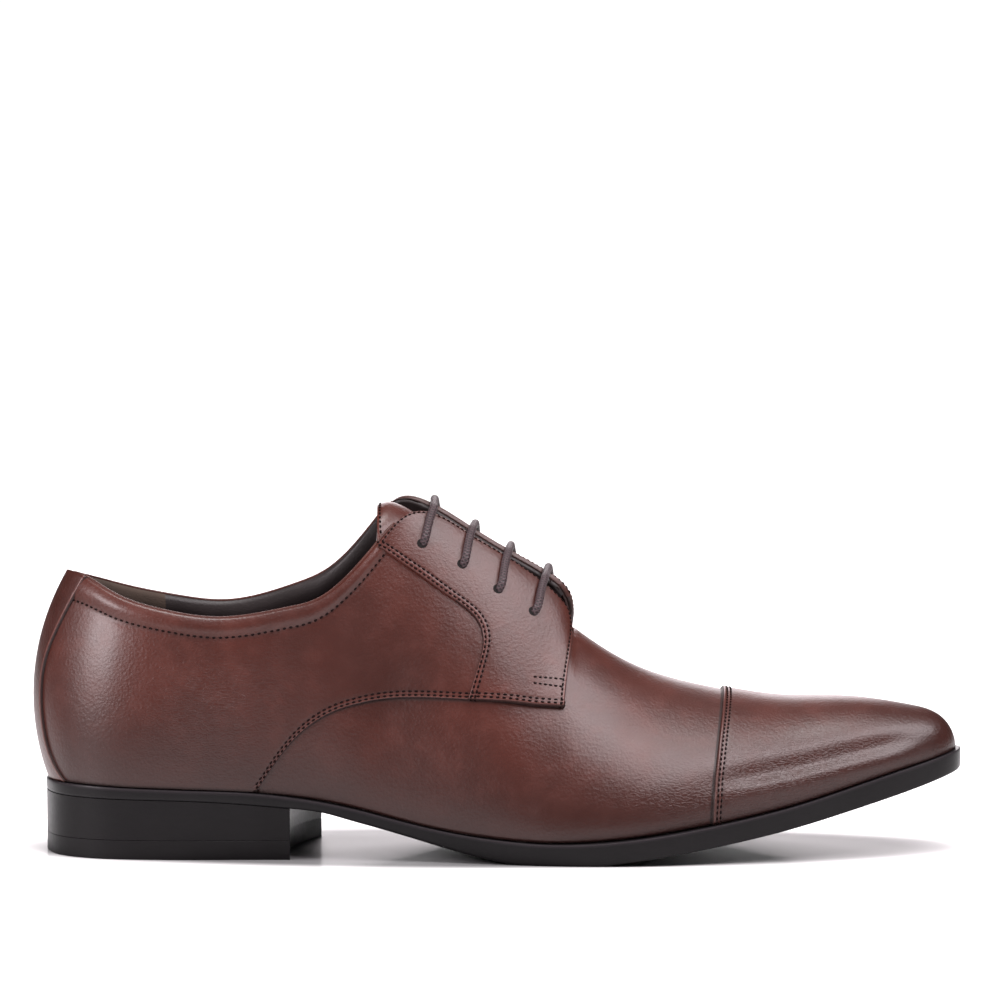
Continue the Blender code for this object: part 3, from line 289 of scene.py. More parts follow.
class Last:
    """Form of the upper. s runs round the shoe from the back, minus on the outer side, to the toe;
    t runs up a rib: 0 at the feather line, 1 at the edge line, 2 at the ridge."""

    def __init__(self):
        lateral = named(LATERAL_QUARTER, QUARTER_COLUMNS, QUARTER_SIZES)
        medial = named(MEDIAL_QUARTER, QUARTER_COLUMNS, QUARTER_SIZES)
        back = named(BACK_RIB, QUARTER_COLUMNS, QUARTER_SIZES)
        self.vamp_rows = {-1: named(LATERAL_VAMP, VAMP_COLUMNS, VAMP_SIZES),
                          1: named(MEDIAL_VAMP, VAMP_COLUMNS, VAMP_SIZES)}
        self.ridge_rows = named(RIDGE, RIDGE_COLUMNS, RIDGE_SIZES)
        self.tip_y = self.ridge_rows["ridge_y"][-1]
        foot = [self.mean_foot(back, back), self.mean_foot(lateral, medial),
                self.mean_foot(self.vamp_rows[-1], self.vamp_rows[1])]
        chords = np.linalg.norm(np.diff(np.vstack(foot), axis=0), axis=1)
        stations = np.concatenate([[0], np.cumsum(chords)])
        count = 1 + len(lateral["name"])
        self.front = stations[count]
        self.tip = stations[-1]
        self.station = dict(zip(back["name"] + lateral["name"] + self.vamp_rows[1]["name"], stations))
        self.vamp = {side: self.vamp_spline(side, stations[count:]) for side in (-1, 1)}
        ghosts = self.front + np.array([0, 0.4, 0.8]) * (stations[count + 1] - self.front)
        knots = np.concatenate([-ghosts[::-1], -stations[1:count][::-1], stations[:count], ghosts])
        rows = np.concatenate([self.vamp_controls(-ghosts[::-1])[:, :4],
                               self.quarter_controls(lateral, -1)[::-1],
                               self.quarter_controls(back, 1),
                               self.quarter_controls(medial, 1),
                               self.vamp_controls(ghosts)[:, :4]])
        self.quarter = Spline(knots, rows.reshape(len(knots), -1))

    @staticmethod
    def mean_foot(one, other):
        return np.stack([(one[key] + other[key]) / 2 for key in ("foot_x", "foot_y")], axis=1)

    @staticmethod
    def quarter_controls(rows, side):
        fan = np.radians(rows["fan"])
        outward = np.stack([-np.cos(fan), side * np.sin(fan), 0 * fan], axis=1)
        up = np.array([0, 0, 1])
        foot = np.stack([rows["foot_x"], side * rows["foot_y"], sole_top(rows["foot_x"]) + GAP], axis=1)
        edge = np.stack([rows["edge_x"], side * rows["edge_y"], rows["edge_z"]], axis=1)
        rise = foot + rows["out"][:, None] * outward + rows["up"][:, None] * up
        fall = edge + rows["edge_out"][:, None] * outward - rows["edge_down"][:, None] * up
        return np.stack([foot, rise, fall, edge], axis=1)

    def vamp_spline(self, side, stations):
        """Columns of the vamp, run on past the tip as a mirror image so that the toe comes out round."""
        even = ("foot_x", "cut", "ridge_x")
        rows = {**self.vamp_rows[side], **self.ridge_rows}
        rows["ridge_y"] = rows["ridge_y"] - self.tip_y
        names = [name for name in rows if name != "name"]
        table = np.stack([rows[name] for name in names], axis=1)
        sign = np.array([1 if name in even else -1 for name in names])
        knots = np.concatenate([stations, 2 * stations[-1] - stations[-2::-1]])
        curve = Spline(knots, np.vstack([table, table[-2::-1] * sign]))
        return lambda s: dict(zip(names, curve(np.minimum(np.abs(s), self.tip)).T))

    def vamp_controls(self, s):
        s = np.asarray(s, float)
        result = np.zeros((len(s), 7, 3))
        for side in (-1, 1):
            mask = s * side > 0
            if not mask.any():
                continue
            row = self.vamp[side](s[mask])
            foot = np.stack([row["foot_x"], self.tip_y + side * row["foot_y"],
                             sole_top(row["foot_x"]) + GAP], axis=1)
            ridge = np.stack([row["ridge_x"], self.tip_y + row["ridge_y"],
                              sole_top(row["ridge_x"]) + GAP + row["rise"]], axis=1)
            zero = 0 * row["out"]
            rise = foot + np.stack([zero, side * row["out"], row["up"]], axis=1)
            flat = ridge + np.stack([zero, side * row["side"], zero], axis=1)
            result[mask] = split(np.stack([foot, rise, flat, ridge], axis=1), row["cut"])
        return result

    def controls(self, s):
        result = self.vamp_controls(s)
        mask = np.abs(s) < self.front - WELD
        if mask.any():
            quarter = self.quarter(s[mask]).reshape(-1, 4, 3)
            onward = quarter[:, 3] - quarter[:, 2]
            beyond = [(quarter[:, 3] + onward * k)[:, None] for k in (1, 2, 3)]
            result[mask] = np.concatenate([quarter] + beyond, axis=1)
        return result

    def point(self, s, t):
        s, t = (a.ravel() for a in np.broadcast_arrays(np.asarray(s, float), np.asarray(t, float)))
        controls = self.controls(s)
        low = bezier(controls[:, :4], np.minimum(t, 1))
        high = bezier(controls[:, 3:], np.maximum(t - 1, 0))
        return np.where((t <= 1)[:, None], low, high)

    def across(self, s, t):
        """Outward directions, level at the feather line. At the tip they point straight ahead."""
        small_s = SHOE_LENGTH / 1000
        small_t = 0.01
        near_tip = np.abs(s) > self.tip - small_s
        at = np.clip(s, -self.tip + 2 * small_s, self.tip - 2 * small_s)
        along = self.point(at + small_s, t) - self.point(at - small_s, t)
        limit = np.where(np.abs(at) > self.front, 2.0, 3.0)
        up = self.point(at, np.minimum(t + small_t, limit)) - self.point(at, np.maximum(t - small_t, 0))
        across = np.cross(up, along)
        across[:, 2] *= np.clip(t / 0.15, 0, 1)
        across[near_tip] = 1, 0, 0
        return across / np.linalg.norm(across, axis=1)[:, None]

    def normal(self, s, t):
        """Outward normals, the same from both sides where they meet on the ridge."""
        across = self.across(s, t)
        ridge = t >= 2
        if ridge.any():
            across[ridge] += self.across(-s[ridge], t[ridge])
        return across / np.linalg.norm(across, axis=1)[:, None]

    def offset(self, s, t, distance):
        """Points off the form along its normal. The feather line stays level on the sole."""
        s, t, distance = (a.ravel() for a in np.broadcast_arrays(
            np.asarray(s, float), np.asarray(t, float), np.asarray(distance, float)))
        points = self.point(s, t) + distance[:, None] * self.normal(s, t)
        level = t <= 0
        points[level, 2] = sole_top(points[level, 0]) + GAP
        return points

    def locate(self, side, x, z):
        """s and t of the place on one side's quarter that is seen at x, z from the side."""
        s = side * np.interp(x, self.foot_span()[0], self.foot_span()[1])
        t = 0.5
        step = np.array([SHOE_LENGTH / 1000, 0.005])
        for _ in range(20):
            here = self.point(s, t)[0]
            by_s = (self.point(s + step[0], t)[0] - here) / step[0]
            by_t = (self.point(s, t + step[1])[0] - here) / step[1]
            jacobian = np.array([[by_s[0], by_t[0]], [by_s[2], by_t[2]]])
            change = np.linalg.solve(jacobian, np.array([x - here[0], z - here[2]]))
            s += change[0]
            t = min(max(t + change[1], 0), 1)
        return s, t

    def foot_span(self):
        s = np.linspace(self.station["seat"], self.tip, 30)
        return self.point(s, 0)[:, 0], s


def late(count):
    """Shares from 0 to 1 that lie closer together towards 1."""
    return 1 - (1 - np.linspace(0, 1, count)) ** CROWDING


def curve_of(points):
    """Smooth curve through points, with its place given as a share of their chord length."""
    points = np.asarray(points, float)
    scale = np.ptp(points, axis=0)
    chords = np.linalg.norm(np.diff(points, axis=0) / scale, axis=1)
    knots = np.concatenate([[0], np.cumsum(chords)])
    return Spline(knots / knots[-1], points)


def seam_on(side, table):
    """Seam given as seen from the side, as a curve in s and t."""
    places = scaled(table, SHOE_LENGTH, INSTEP_HEIGHT)
    return np.array([LAST.locate(side, x, z) for x, z in places])


def sole_curve(side):
    """Outline of the sole on one side, from the back to the toe, by the share of its length."""
    rows = scaled(SOLE_OUTLINE, SHOE_LENGTH, BALL_WIDTH, BALL_WIDTH)
    mean = np.stack([rows[:, 0], (rows[:, 1] + rows[:, 2]) / 2], axis=1)
    knots = np.concatenate([[0], np.cumsum(np.linalg.norm(np.diff(mean, axis=0), axis=1))])
    width = rows[:, 1] if side < 0 else rows[:, 2]
    before = slice(3, 0, -1)
    after = slice(-2, -5, -1)
    x = np.concatenate([rows[before, 0], rows[:, 0], rows[after, 0]])
    y = np.concatenate([-width[before], width, -width[after]])
    place = np.concatenate([-knots[before], knots, 2 * knots[-1] - knots[after]]) / knots[-1]
    curve = Spline(place, np.stack([x, side * y], axis=1))

    def inset(share, distance):
        small = 0.002
        along = curve(share + small) - curve(share - small)
        along /= np.linalg.norm(along, axis=1)[:, None]
        inward = np.stack([along[:, 1], -along[:, 0]], axis=1) * side
        return curve(share) + inward * distance

    return inset


SOLE_SIDE = {side: sole_curve(side) for side in (-1, 1)}


def sole_plan(distance, shares):
    """Plan points of the sole's outline moved inwards by a distance, with points between its sides."""
    left = SOLE_SIDE[-1](shares, distance)
    right = SOLE_SIDE[1](shares, distance)
    for end in (0, -1):
        left[end] = right[end] = (left[end] + right[end]) / 2
    across = np.linspace(0, 1, ACROSS + 1)[None, :, None]
    return left[:, None] + across * (right - left)[:, None]


def crowded(count):
    """Shares from 0 to 1 that lie closer together at both ends."""
    return (1 - np.cos(np.linspace(0, math.pi, count))) / 2


def heel_plan(distance):
    """Plan points of the heel: the sole's outline, cut off by a hollow breast."""
    shares = np.linspace(0, 1, 5 * SAMPLES)
    columns = []
    for side, breast in ((-1, BREAST_LATERAL), (1, BREAST_MEDIAL)):
        line = SOLE_SIDE[side](shares, distance)
        rear = line[:, 0] < SHOE_LENGTH / 2
        end = np.interp(breast * SHOE_LENGTH, line[rear, 0], shares[rear])
        columns.append(SOLE_SIDE[side](end * np.linspace(0, 1, HEEL_STATIONS), distance))
    left, right = columns
    left[0] = right[0] = (left[0] + right[0]) / 2
    across = np.linspace(0, 1, ACROSS + 1)
    plan = left[:, None] + across[None, :, None] * (right - left)[:, None]
    hollow = BREAST_HOLLOW * (1 - (2 * across - 1) ** 2)
    plan[:, :, 0] -= np.linspace(0, 1, HEEL_STATIONS)[:, None] ** 2 * hollow[None, :]
    return plan


def quads_of(columns, rows):
    """Quads between neighbouring columns of a grid whose points are numbered column by column."""
    return [[c * rows + r, (c + 1) * rows + r, (c + 1) * rows + r + 1, c * rows + r + 1]
            for c in range(columns - 1) for r in range(rows - 1)]


# Sizes of the finish
MM = 0.001
# Reach over which the bend at the front of the quarters is evened out, and how far from it
SOFTEN = 3.5 * MM
SOFTEN_REACH = 8.5 * MM
# Distances from a finished edge at which its rows of points lie
FINE = np.array([0, 0.12, 0.28, 0.5, 0.8, 1.1, 1.4, 1.75, 2.1, 2.5, 3.0, 3.6]) * MM
EDGE_RADIUS = 0.55 * MM
STITCH_LENGTH = 1.30 * MM
STITCH_DIAMETER = 0.74 * MM
# Furrow that a row of stitches draws into the leather, and the painted shade along it
FURROW_DEPTH = 0.12 * MM
FACING_FURROW_DEPTH = 0.10 * MM
FURROW_WIDTH = 0.3 * MM
ROW_SHADE_WIDTH = 0.35 * MM
ROW_SHADE = 0.3
# Painted highlight: light line on the raised leather between two rows
BETWEEN_WIDTH = 0.25 * MM
# Rows of stitches: their distances from the edge that they follow, and the pitch along them
QUARTER_ROWS = (0.95 * MM, 2.15 * MM)
QUARTER_PITCH = 2.1 * MM
COLLAR_PITCH = 2.15 * MM
CAP_ROWS = (1.5 * MM, 2.7 * MM)
CAP_PITCH = 1.9 * MM
FACING_ROWS = (("low", 0.9 * MM, 1.8 * MM), ("low", 2.3 * MM, 1.8 * MM), ("high", 1.3 * MM, 1.8 * MM),
               ("start", 1.0 * MM, 2.1 * MM), ("start", 2.15 * MM, 2.1 * MM))
BETWEEN_LOW_ROWS = 1.60 * MM
BETWEEN_START_ROWS = 1.58 * MM
BARTACK_PITCH = 1.7 * MM
# Two short rows of stitches that lock each facing's front edge: both ends of each row
BARTACK = (((0.532, 0.503), (0.560, 0.494)), ((0.532, 0.4865), (0.560, 0.474)))
# How far the quarter's front edge stands back from the form's front line, in millimetres, by t
FRONT_CUT = ((0.0, 0.3), (0.589, 0.5), (0.69, 0.8), (0.77, 1.0), (0.85, 1.4),
             (0.934, 1.9), (0.988, 2.6), (1.0, 3.0))
# Length of a line up the quarter, from the feather line to the topline
PANEL_HEIGHT = 65 * MM
# Vamp: spacing of its columns, and the close ones behind the cap's seam, in millimetres from it
VAMP_STEP = 1.5 * MM
NEAR_CAP = (0.05, 0.3, 0.55, 0.9)
# Its rows: all that lie up to a little beyond the quarter's edge, the close ones below that edge (the last
# one above it), in millimetres from it, those beyond, and those up to the edge line and to the ridge
LOW_ROWS = 40
NEAR_SEAM = (0.9, 0.6, 0.35, 0.1, -0.3)
BEYOND_ROWS = 6
HALF_ROWS = 22
# How far it runs on below the quarter, as t, and by how many columns below the facing's corner
UNDERLAP = 0.16
THROAT_COLUMNS = 4
# Thickness of the vamp's leather
VAMP_LEATHER = 0.9 * MM
# Creases of the vamp on the outer side: two ends and width in shares of SHOE_LENGTH, depth in millimetres
VAMP_CREASES = (
    ((0.60, 0.055), (0.66, 0.110), 0.010, 0.18),
    ((0.63, 0.045), (0.69, 0.095), 0.010, 0.12),
    ((0.47, 0.060), (0.53, 0.085), 0.012, 0.15),
)
# Shelf along both sides of the toe: place along the shoe and height over the feather line, in millimetres
TOE_SHELF = ((213, 12.2), (239, 10.9), (262, 9.4), (285, 7.1), (308, 3.8))
SHELF_DEPTH = 0.85 * MM
SHELF_WIDTH = 3.2 * MM
# Where it begins, over what length it grows, where it ends and over what length it fades, in millimetres
SHELF_ENDS = (216, 26, 301, 20)
# Its strength on the inner side, as a share of the outer side's
INNER_SHELF = 0.5
# Patches where the grain is wrinkled: place and height, then how far they reach each way,
# in shares of SHOE_LENGTH and INSTEP_HEIGHT
WRINKLED = ((0.19, 0.22, 0.07, 0.16), (0.78, 0.10, 0.12, 0.10))
# Painted shade: height of the dark band over the sole, and place, height, reach and strength at the waist
LOW_SHADE = 24 * MM
WAIST_SHADE = (0.36, 48 * MM, 0.085, 20 * MM, 0.75)
# Painted shade towards the toe: how far it reaches and its strength
TOE_SHADE = (0.05, 0.3)
# How far the collar's stitch row lies below the topline, how much more at the back, and how far round
COLLAR_DROP = 6.8 * MM
BACK_DROP = 3.0 * MM
BACK_DROP_REACH = 0.12
# Padding of the collar, outside and in the lining, and how far down the lining's reaches
COLLAR_BULGE = 0.9 * MM
LINING_PAD = 2.4 * MM
LINING_PAD_DROP = 11 * MM
PIPING_RADIUS = 0.55 * MM
# How far forward from the back of the sole the suede heel grip reaches, as a share of the length
HEEL_GRIP = 0.125
# Slant of the tongue's upper end at its low side and at its edge line
TONGUE_SLANT = (-1.2 * MM, 1.0 * MM)
EYELET_RADIUS = 1.75 * MM
EYELET_DEPTH = 0.5 * MM
EYELET_POINTS = 24
# Rim of the sole: how far inside its outline each level lies, and its drop from the top or its rise
# from the underside, in millimetres; then the strength of the painted highlight line at each level
RIM_FROM_TOP = ((3.0, 0.0), (0.4, 0.0), (0.12, 0.15), (0.0, 0.5), (0.0, 1.2))
RIM_FROM_UNDERSIDE = ((0.05, 1.0), (0.15, 0.4), (0.4, 0.1), (1.0, 0.0))
RIM_HIGHLIGHT = (0, 0.5, 1, 0.6, 0, 0, 0, 0, 0)
SOLE_STATIONS = 220


class SoftLast(Last):
    """The same form with the bend at the front of the quarters evened out, as leather would."""

    def point(self, s, t):
        s, t = (a.ravel() for a in np.broadcast_arrays(np.asarray(s, float), np.asarray(t, float)))
        result = super().point(s, t)
        near = np.abs(np.abs(s) - self.front) < 2.2 * SOFTEN_REACH
        if near.any():
            s, t = s[near], t[near]
            calm = 1 - np.clip((t - 0.55) / 0.40, 0, 1) ** 2
            reach = SOFTEN * calm * np.exp(-((np.abs(s) - self.front) / SOFTEN_REACH) ** 2)
            steps = np.linspace(-1.8, 1.8, 9)
            weights = np.exp(-steps ** 2 / 2)
            shifted = [weight * super(SoftLast, self).point(s + step * reach, t)
                       for step, weight in zip(steps, weights)]
            result[near] = sum(shifted) / weights.sum()
        return result


LAST = SoftLast()


def row_shift():
    """From the form's own places to the frame's, so that the sole here lies over the sole there."""
    low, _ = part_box("outsole")
    own = np.vstack([SOLE_SIDE[side](np.linspace(0, 1, 400), 0) for side in (-1, 1)])
    return np.array([low[0] - own[:, 0].min(), low[1] - own[:, 1].min(), 0])


SHIFT = row_shift()


class Value:
    """Socket of a shader tree that can be used in Python expressions."""

    def __init__(self, finish, socket):
        self.finish = finish
        self.socket = socket

    def _math(self, operation, first, second):
        return self.finish.node("ShaderNodeMath", {"operation": operation}, {0: first, 1: second})

    def __add__(self, other):
        return self._math("ADD", self, other)

    __radd__ = __add__

    def __sub__(self, other):
        return self._math("SUBTRACT", self, other)

    def __rsub__(self, other):
        return self._math("SUBTRACT", other, self)

    def __mul__(self, other):
        return self._math("MULTIPLY", self, other)

    __rmul__ = __mul__


class Finish:
    """One material and the nodes that it is made of."""

    def __init__(self, name, **fixed):
        self.material = bpy.data.materials.new(name)
        self.material.use_nodes = True
        self.tree = self.material.node_tree
        self.shader = self.tree.nodes["Principled BSDF"]
        for key, value in fixed.items():
            self.shader.inputs[key.replace("_", " ").title().replace("Ior", "IOR")].default_value = value

    def node(self, kind, settings, inputs, output=0):
        made = self.tree.nodes.new(kind)
        for key, value in settings.items():
            setattr(made, key, value)
        for key, value in inputs.items():
            self.feed(made.inputs[key], value)
        return Value(self, made.outputs[output])

    def feed(self, socket, value):
        if isinstance(value, Value):
            self.tree.links.new(value.socket, socket)
        else:
            socket.default_value = value

    def place(self):
        return self.node("ShaderNodeTexCoord", {}, {}, "Object")

    def stretched(self, scale):
        return self.node("ShaderNodeMapping", {}, {"Vector": self.place(), "Scale": scale})

    def painted(self, name):
        return self.node("ShaderNodeAttribute", {"attribute_name": name}, {}, "Fac")

    def noise(self, scale, detail=3.0, roughness=0.5, at=None):
        return self.node("ShaderNodeTexNoise", {}, {"Vector": at or self.place(), "Scale": scale,
                                                    "Detail": detail, "Roughness": roughness})

    def cells(self, scale, at=None, feature="SMOOTH_F1", smooth=0.4):
        inputs = {"Vector": at or self.place(), "Scale": scale}
        if feature == "SMOOTH_F1":
            inputs["Smoothness"] = smooth
        return self.node("ShaderNodeTexVoronoi", {"feature": feature}, inputs, "Distance")

    def between(self, value, low, high):
        """0 up to low and 1 from high on, smooth between them."""
        return self.node("ShaderNodeMapRange", {"interpolation_type": "SMOOTHSTEP"},
                         {"Value": value, "From Min": low, "From Max": high, "To Min": 0.0, "To Max": 1.0})

    def mix(self, share, first, second):
        return self.node("ShaderNodeMix", {"data_type": "RGBA"},
                         {0: share, 6: self.colour(first), 7: self.colour(second)}, 2)

    @staticmethod
    def colour(value):
        return value if isinstance(value, Value) else (*value, 1.0)

    def bump(self, height, strength, distance, over=None):
        inputs = {"Height": height, "Strength": strength, "Distance": distance}
        if over:
            inputs["Normal"] = over
        return self.node("ShaderNodeBump", {}, inputs)

    def use(self, **sockets):
        for key, value in sockets.items():
            self.feed(self.shader.inputs[key.replace("_", " ").title()], value)
        return self.material


def calf(name, tint, grain=1.0):
    """Polished calf: fine pores, a wrinkled grain where it is painted, burnished edges with a painted
    highlight, dark seams and cut edges with painted shade along them, and painted shade low down.
    """
    finish = Finish(name, coat_weight=0.15, coat_roughness=0.25, specular_ior_level=0.26, coat_ior=1.5)
    cloud = finish.noise(38.0, 4.0, 0.55)
    patch = finish.noise(150.0, 3.0, 0.6)
    deep = tuple(channel * 0.72 for channel in tint)
    light = tuple(min(channel * 1.35 + 0.004, 1) for channel in tint)
    colour = finish.mix(finish.between(cloud, 0.35, 0.7), deep, tint)
    colour = finish.mix(finish.between(patch, 0.45, 0.8) * 0.35, colour, light)
    # Painted shade: darker where the shade attribute says, low down, at the waist and towards the toe
    colour = finish.mix(finish.painted("shade") * 0.75, colour, tuple(channel * 0.30 for channel in tint))
    edge = finish.painted("edge")
    seam = finish.painted("seam")
    burnish_and_highlight = tuple(min(channel * 1.9 + 0.01, 1) for channel in tint)
    # Burnish and painted highlight: lighter along folded edges and between rows of stitches
    colour = finish.mix(edge * 0.75, colour, burnish_and_highlight)
    # Painted shade: near black along the sole, under the edges of overlays and along rows of stitches, with
    # the dark cut edges
    colour = finish.mix(seam * 0.85, colour, tuple(channel * 0.12 for channel in tint))
    pores = finish.cells(900.0)
    fine = finish.noise(1700.0, 3.0, 0.6)
    warp = finish.noise(260.0, 2.0)
    wrinkle = finish.cells(800.0, finish.stretched((0.6, 1.0, 1.4)), "DISTANCE_TO_EDGE")
    folds = finish.painted("wrinkle") * finish.between(wrinkle, 0.0, 0.22)
    height = pores * 0.5 + fine * 0.5 + warp * 0.3
    normal = finish.bump(height, 0.46 * grain, 0.00035)
    normal = finish.bump(folds, 0.42 * grain, 0.0003, normal)
    rough = 0.36 + patch * 0.10 + seam * 0.25 - edge * 0.06
    return finish.use(base_color=colour, roughness=rough, normal=normal)


def smooth_lining(name, tint, roughness):
    finish = Finish(name, specular_ior_level=0.2)
    cloud = finish.noise(60.0, 3.0)
    colour = finish.mix(finish.between(cloud, 0.3, 0.75), tuple(channel * 0.7 for channel in tint), tint)
    pores = finish.cells(1500.0)
    normal = finish.bump(pores + finish.noise(3000.0, 2.0), 0.18, 0.0003)
    return finish.use(base_color=colour, roughness=roughness + cloud * 0.12, normal=normal)


def thread(name, tint):
    finish = Finish(name, specular_ior_level=0.05)
    twist = finish.node("ShaderNodeTexWave", {"bands_direction": "DIAGONAL"},
                        {"Vector": finish.place(), "Scale": 900.0, "Distortion": 1.0}, "Fac")
    # Painted shade: the thread is darker in the grooves of its twist
    colour = finish.mix(twist, tuple(channel * 0.6 for channel in tint), tint)
    return finish.use(base_color=colour, roughness=0.55 + twist * 0.1,
                      normal=finish.bump(twist, 0.3, 0.0001))


def braid(name, tint):
    """Waxed round cord: two sets of strands that cross along its own UV map, with painted shade between
    them.
    """
    finish = Finish(name, specular_ior_level=0.4)
    way = finish.node("ShaderNodeUVMap", {"uv_map": "cord"}, {})
    parts = finish.node("ShaderNodeSeparateXYZ", {}, {"Vector": way}, "X")
    along = Value(finish, parts.socket.node.outputs["Y"])
    right = finish.node("ShaderNodeMath", {"operation": "SINE"}, {0: (parts * 4.0 + along * 2.6) * math.tau})
    left = finish.node("ShaderNodeMath", {"operation": "SINE"}, {0: (parts * 4.0 - along * 2.6) * math.tau})
    weave = finish.node("ShaderNodeMath", {"operation": "MAXIMUM"}, {0: right, 1: left})
    fuzz = finish.noise(4000.0, 2.0)
    # Painted shade: the cord is near black down between its strands
    colour = finish.mix(finish.between(weave, -0.3, 0.9), tuple(channel * 0.18 for channel in tint), tint)
    return finish.use(base_color=colour, roughness=0.48 + fuzz * 0.15,
                      normal=finish.bump(weave * 0.8 + fuzz * 0.3, 0.7, 0.00025))


def sole_black(name, tint, gloss):
    finish = Finish(name, specular_ior_level=0.12)
    cloud = finish.noise(45.0, 4.0)
    scuff = finish.noise(700.0, 3.0, 0.6, finish.stretched((0.25, 1.0, 1.0)))
    edge = finish.painted("edge")
    worn = tuple(channel * 1.8 for channel in tint)
    # Painted highlight along the rounded top of the sole's rim
    burnish_and_highlight = tuple(channel * 9 for channel in tint)
    colour = finish.mix(finish.between(cloud, 0.3, 0.8) * 0.4, tint, worn)
    colour = finish.mix(edge * 0.5, colour, burnish_and_highlight)
    normal = finish.bump(scuff + finish.noise(2500.0, 2.0) * 0.5, 0.12, 0.0003)
    return finish.use(base_color=colour, roughness=gloss + scuff * 0.18, normal=normal)


BROWN = (0.047, 0.0100, 0.0062)
leather = calf("brown_calf", BROWN)
dark_thread = thread("dark_brown_thread", (0.007, 0.0025, 0.0022))
lining_black = smooth_lining("black_lining", (0.022, 0.017, 0.017), 0.38)
leather_trim = smooth_lining("brown_piping", (0.060, 0.020, 0.015), 0.42)
suede_black = smooth_lining("black_heel_grip", (0.052, 0.036, 0.028), 0.85)
lace_brown = braid("mauve_brown_cord", (0.040, 0.021, 0.025))
sole_rubber = sole_black("black_sole", (0.0042, 0.0036, 0.0040), 0.26)
# Painted shade: near black, for the inside of the eyelet holes
hole_shade = smooth_lining("eyelet_dark", (0.006, 0.004, 0.004), 0.8)


def finished(name, points, faces, material, nodes, attributes=None, uv=None, smooth=True):
    """Mesh piece in the frame's place that rides on the body and stands for the named nodes."""
    mesh = bpy.data.meshes.new(name)
    mesh.from_pydata([tuple(point) for point in np.asarray(points) + SHIFT], [], faces)
    mesh.polygons.foreach_set("use_smooth", [smooth] * len(mesh.polygons))
    for key, values in (attributes or {}).items():
        layer = mesh.attributes.new(key, "FLOAT", "POINT")
        layer.data.foreach_set("value", np.asarray(values, np.float32))
    if uv is not None:
        layer = mesh.uv_layers.new(name="cord")
        layer.data.foreach_set("uv", np.asarray(uv, np.float32).ravel())
    mesh.materials.append(material)
    mesh.validate()
    piece = bpy.data.objects.new(name, mesh)
    bpy.context.scene.collection.objects.link(piece)
    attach(piece, "root")
    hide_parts(*nodes)
    return piece


def spaced(length, start, end, step):
    """Shares along a length: close together next to the edges that are finished, even between them."""
    head = FINE[FINE < length / 3] if start else np.array([0.0])
    tail = FINE[FINE < length / 3] if end else np.array([0.0])
    middle = length - head[-1] - tail[-1]
    inner = np.linspace(head[-1], head[-1] + middle, max(int(middle / step), 1) + 1)
    places = np.concatenate([head[:-1], inner, length - tail[::-1][1:]])
    return places / length


def roll(distance, radius=EDGE_RADIUS):
    """Rounded edge: 0 at the edge, 1 from the radius on."""
    share = np.clip(distance / radius, 0, 1)
    return np.sqrt(1 - (1 - share) ** 2)


def edge_marks(distance):
    """Light line just inside a folded edge, partly burnish and partly painted highlight,
    and the dark of the cut edge itself, partly painted shadow.
    """
    return ridge(distance, 0.62 * MM, 0.24 * MM), np.clip(1.5 - distance / (0.26 * MM), 0, 1)


def ridge(distance, centre, width):
    """Soft ridge of height 1 at a distance from an edge."""
    return np.exp(-((distance - centre) / width) ** 2)


class Panel:
    """Grid of places on the form, columns along s and rows along t, with its distances to its sides."""

    def __init__(self, s, t):
        self.s, self.t = np.broadcast_arrays(np.asarray(s, float), np.asarray(t, float))
        self.shape = self.s.shape
        s, t = self.s.ravel(), self.t.ravel()
        self.base = LAST.offset(s, t, 0).reshape(*self.shape, 3)
        self.normal = LAST.normal(s, t).reshape(*self.shape, 3)
        along = np.linalg.norm(np.diff(self.base, axis=0), axis=2)
        up = np.linalg.norm(np.diff(self.base, axis=1), axis=2)
        self.start = np.vstack([np.zeros(self.shape[1]), np.cumsum(along, axis=0)])
        self.end = self.start[-1] - self.start
        self.low = np.hstack([np.zeros((self.shape[0], 1)), np.cumsum(up, axis=1)])
        self.high = self.low[:, -1:] - self.low

    def points(self, height):
        moved = self.base + self.normal * np.broadcast_to(height, self.shape)[:, :, None]
        level = self.t <= 0
        moved[level, 2] = self.base[level, 2]
        return moved.reshape(-1, 3)

    def line(self, which, distance, height):
        """Row of points at a distance from one side, raised to a height over the form."""
        measure = getattr(self, which)
        flip = which in ("start", "end")
        base = self.base.transpose(1, 0, 2) if flip else self.base
        normal = self.normal.transpose(1, 0, 2) if flip else self.normal
        measure = measure.T if flip else measure
        height = np.broadcast_to(height, self.shape)
        height = height.T if flip else height
        distance = np.broadcast_to(distance, len(base))
        result = []
        for row in range(len(base)):
            order = np.argsort(measure[row])
            spot = [np.interp(distance[row], measure[row][order], base[row][order, k]) for k in range(3)]
            lean = [np.interp(distance[row], measure[row][order], normal[row][order, k]) for k in range(3)]
            lift = np.interp(distance[row], measure[row][order], height[row][order])
            result.append(np.array(spot) + np.array(lean) * lift)
        return np.array(result)


def shell_faces(columns, rows, levels=2, facing_out=True):
    """Faces of a closed sheet or slab from levels of the same grid, the outer or top one first."""
    count = columns * rows
    last = (levels - 1) * count
    faces = []
    for quad in quads_of(columns, rows):
        faces += [quad, [i + last for i in reversed(quad)]]
    border = [c * rows for c in range(columns)] + [(columns - 1) * rows + r for r in range(1, rows)]
    border += [c * rows + rows - 1 for c in range(columns - 2, -1, -1)] + [r for r in range(rows - 2, 0, -1)]
    for a, b in zip(border, border[1:] + border[:1]):
        for level in range(0, last, count):
            faces.append([b + level, a + level, a + level + count, b + level + count])
    return faces if facing_out else [ring[::-1] for ring in faces]


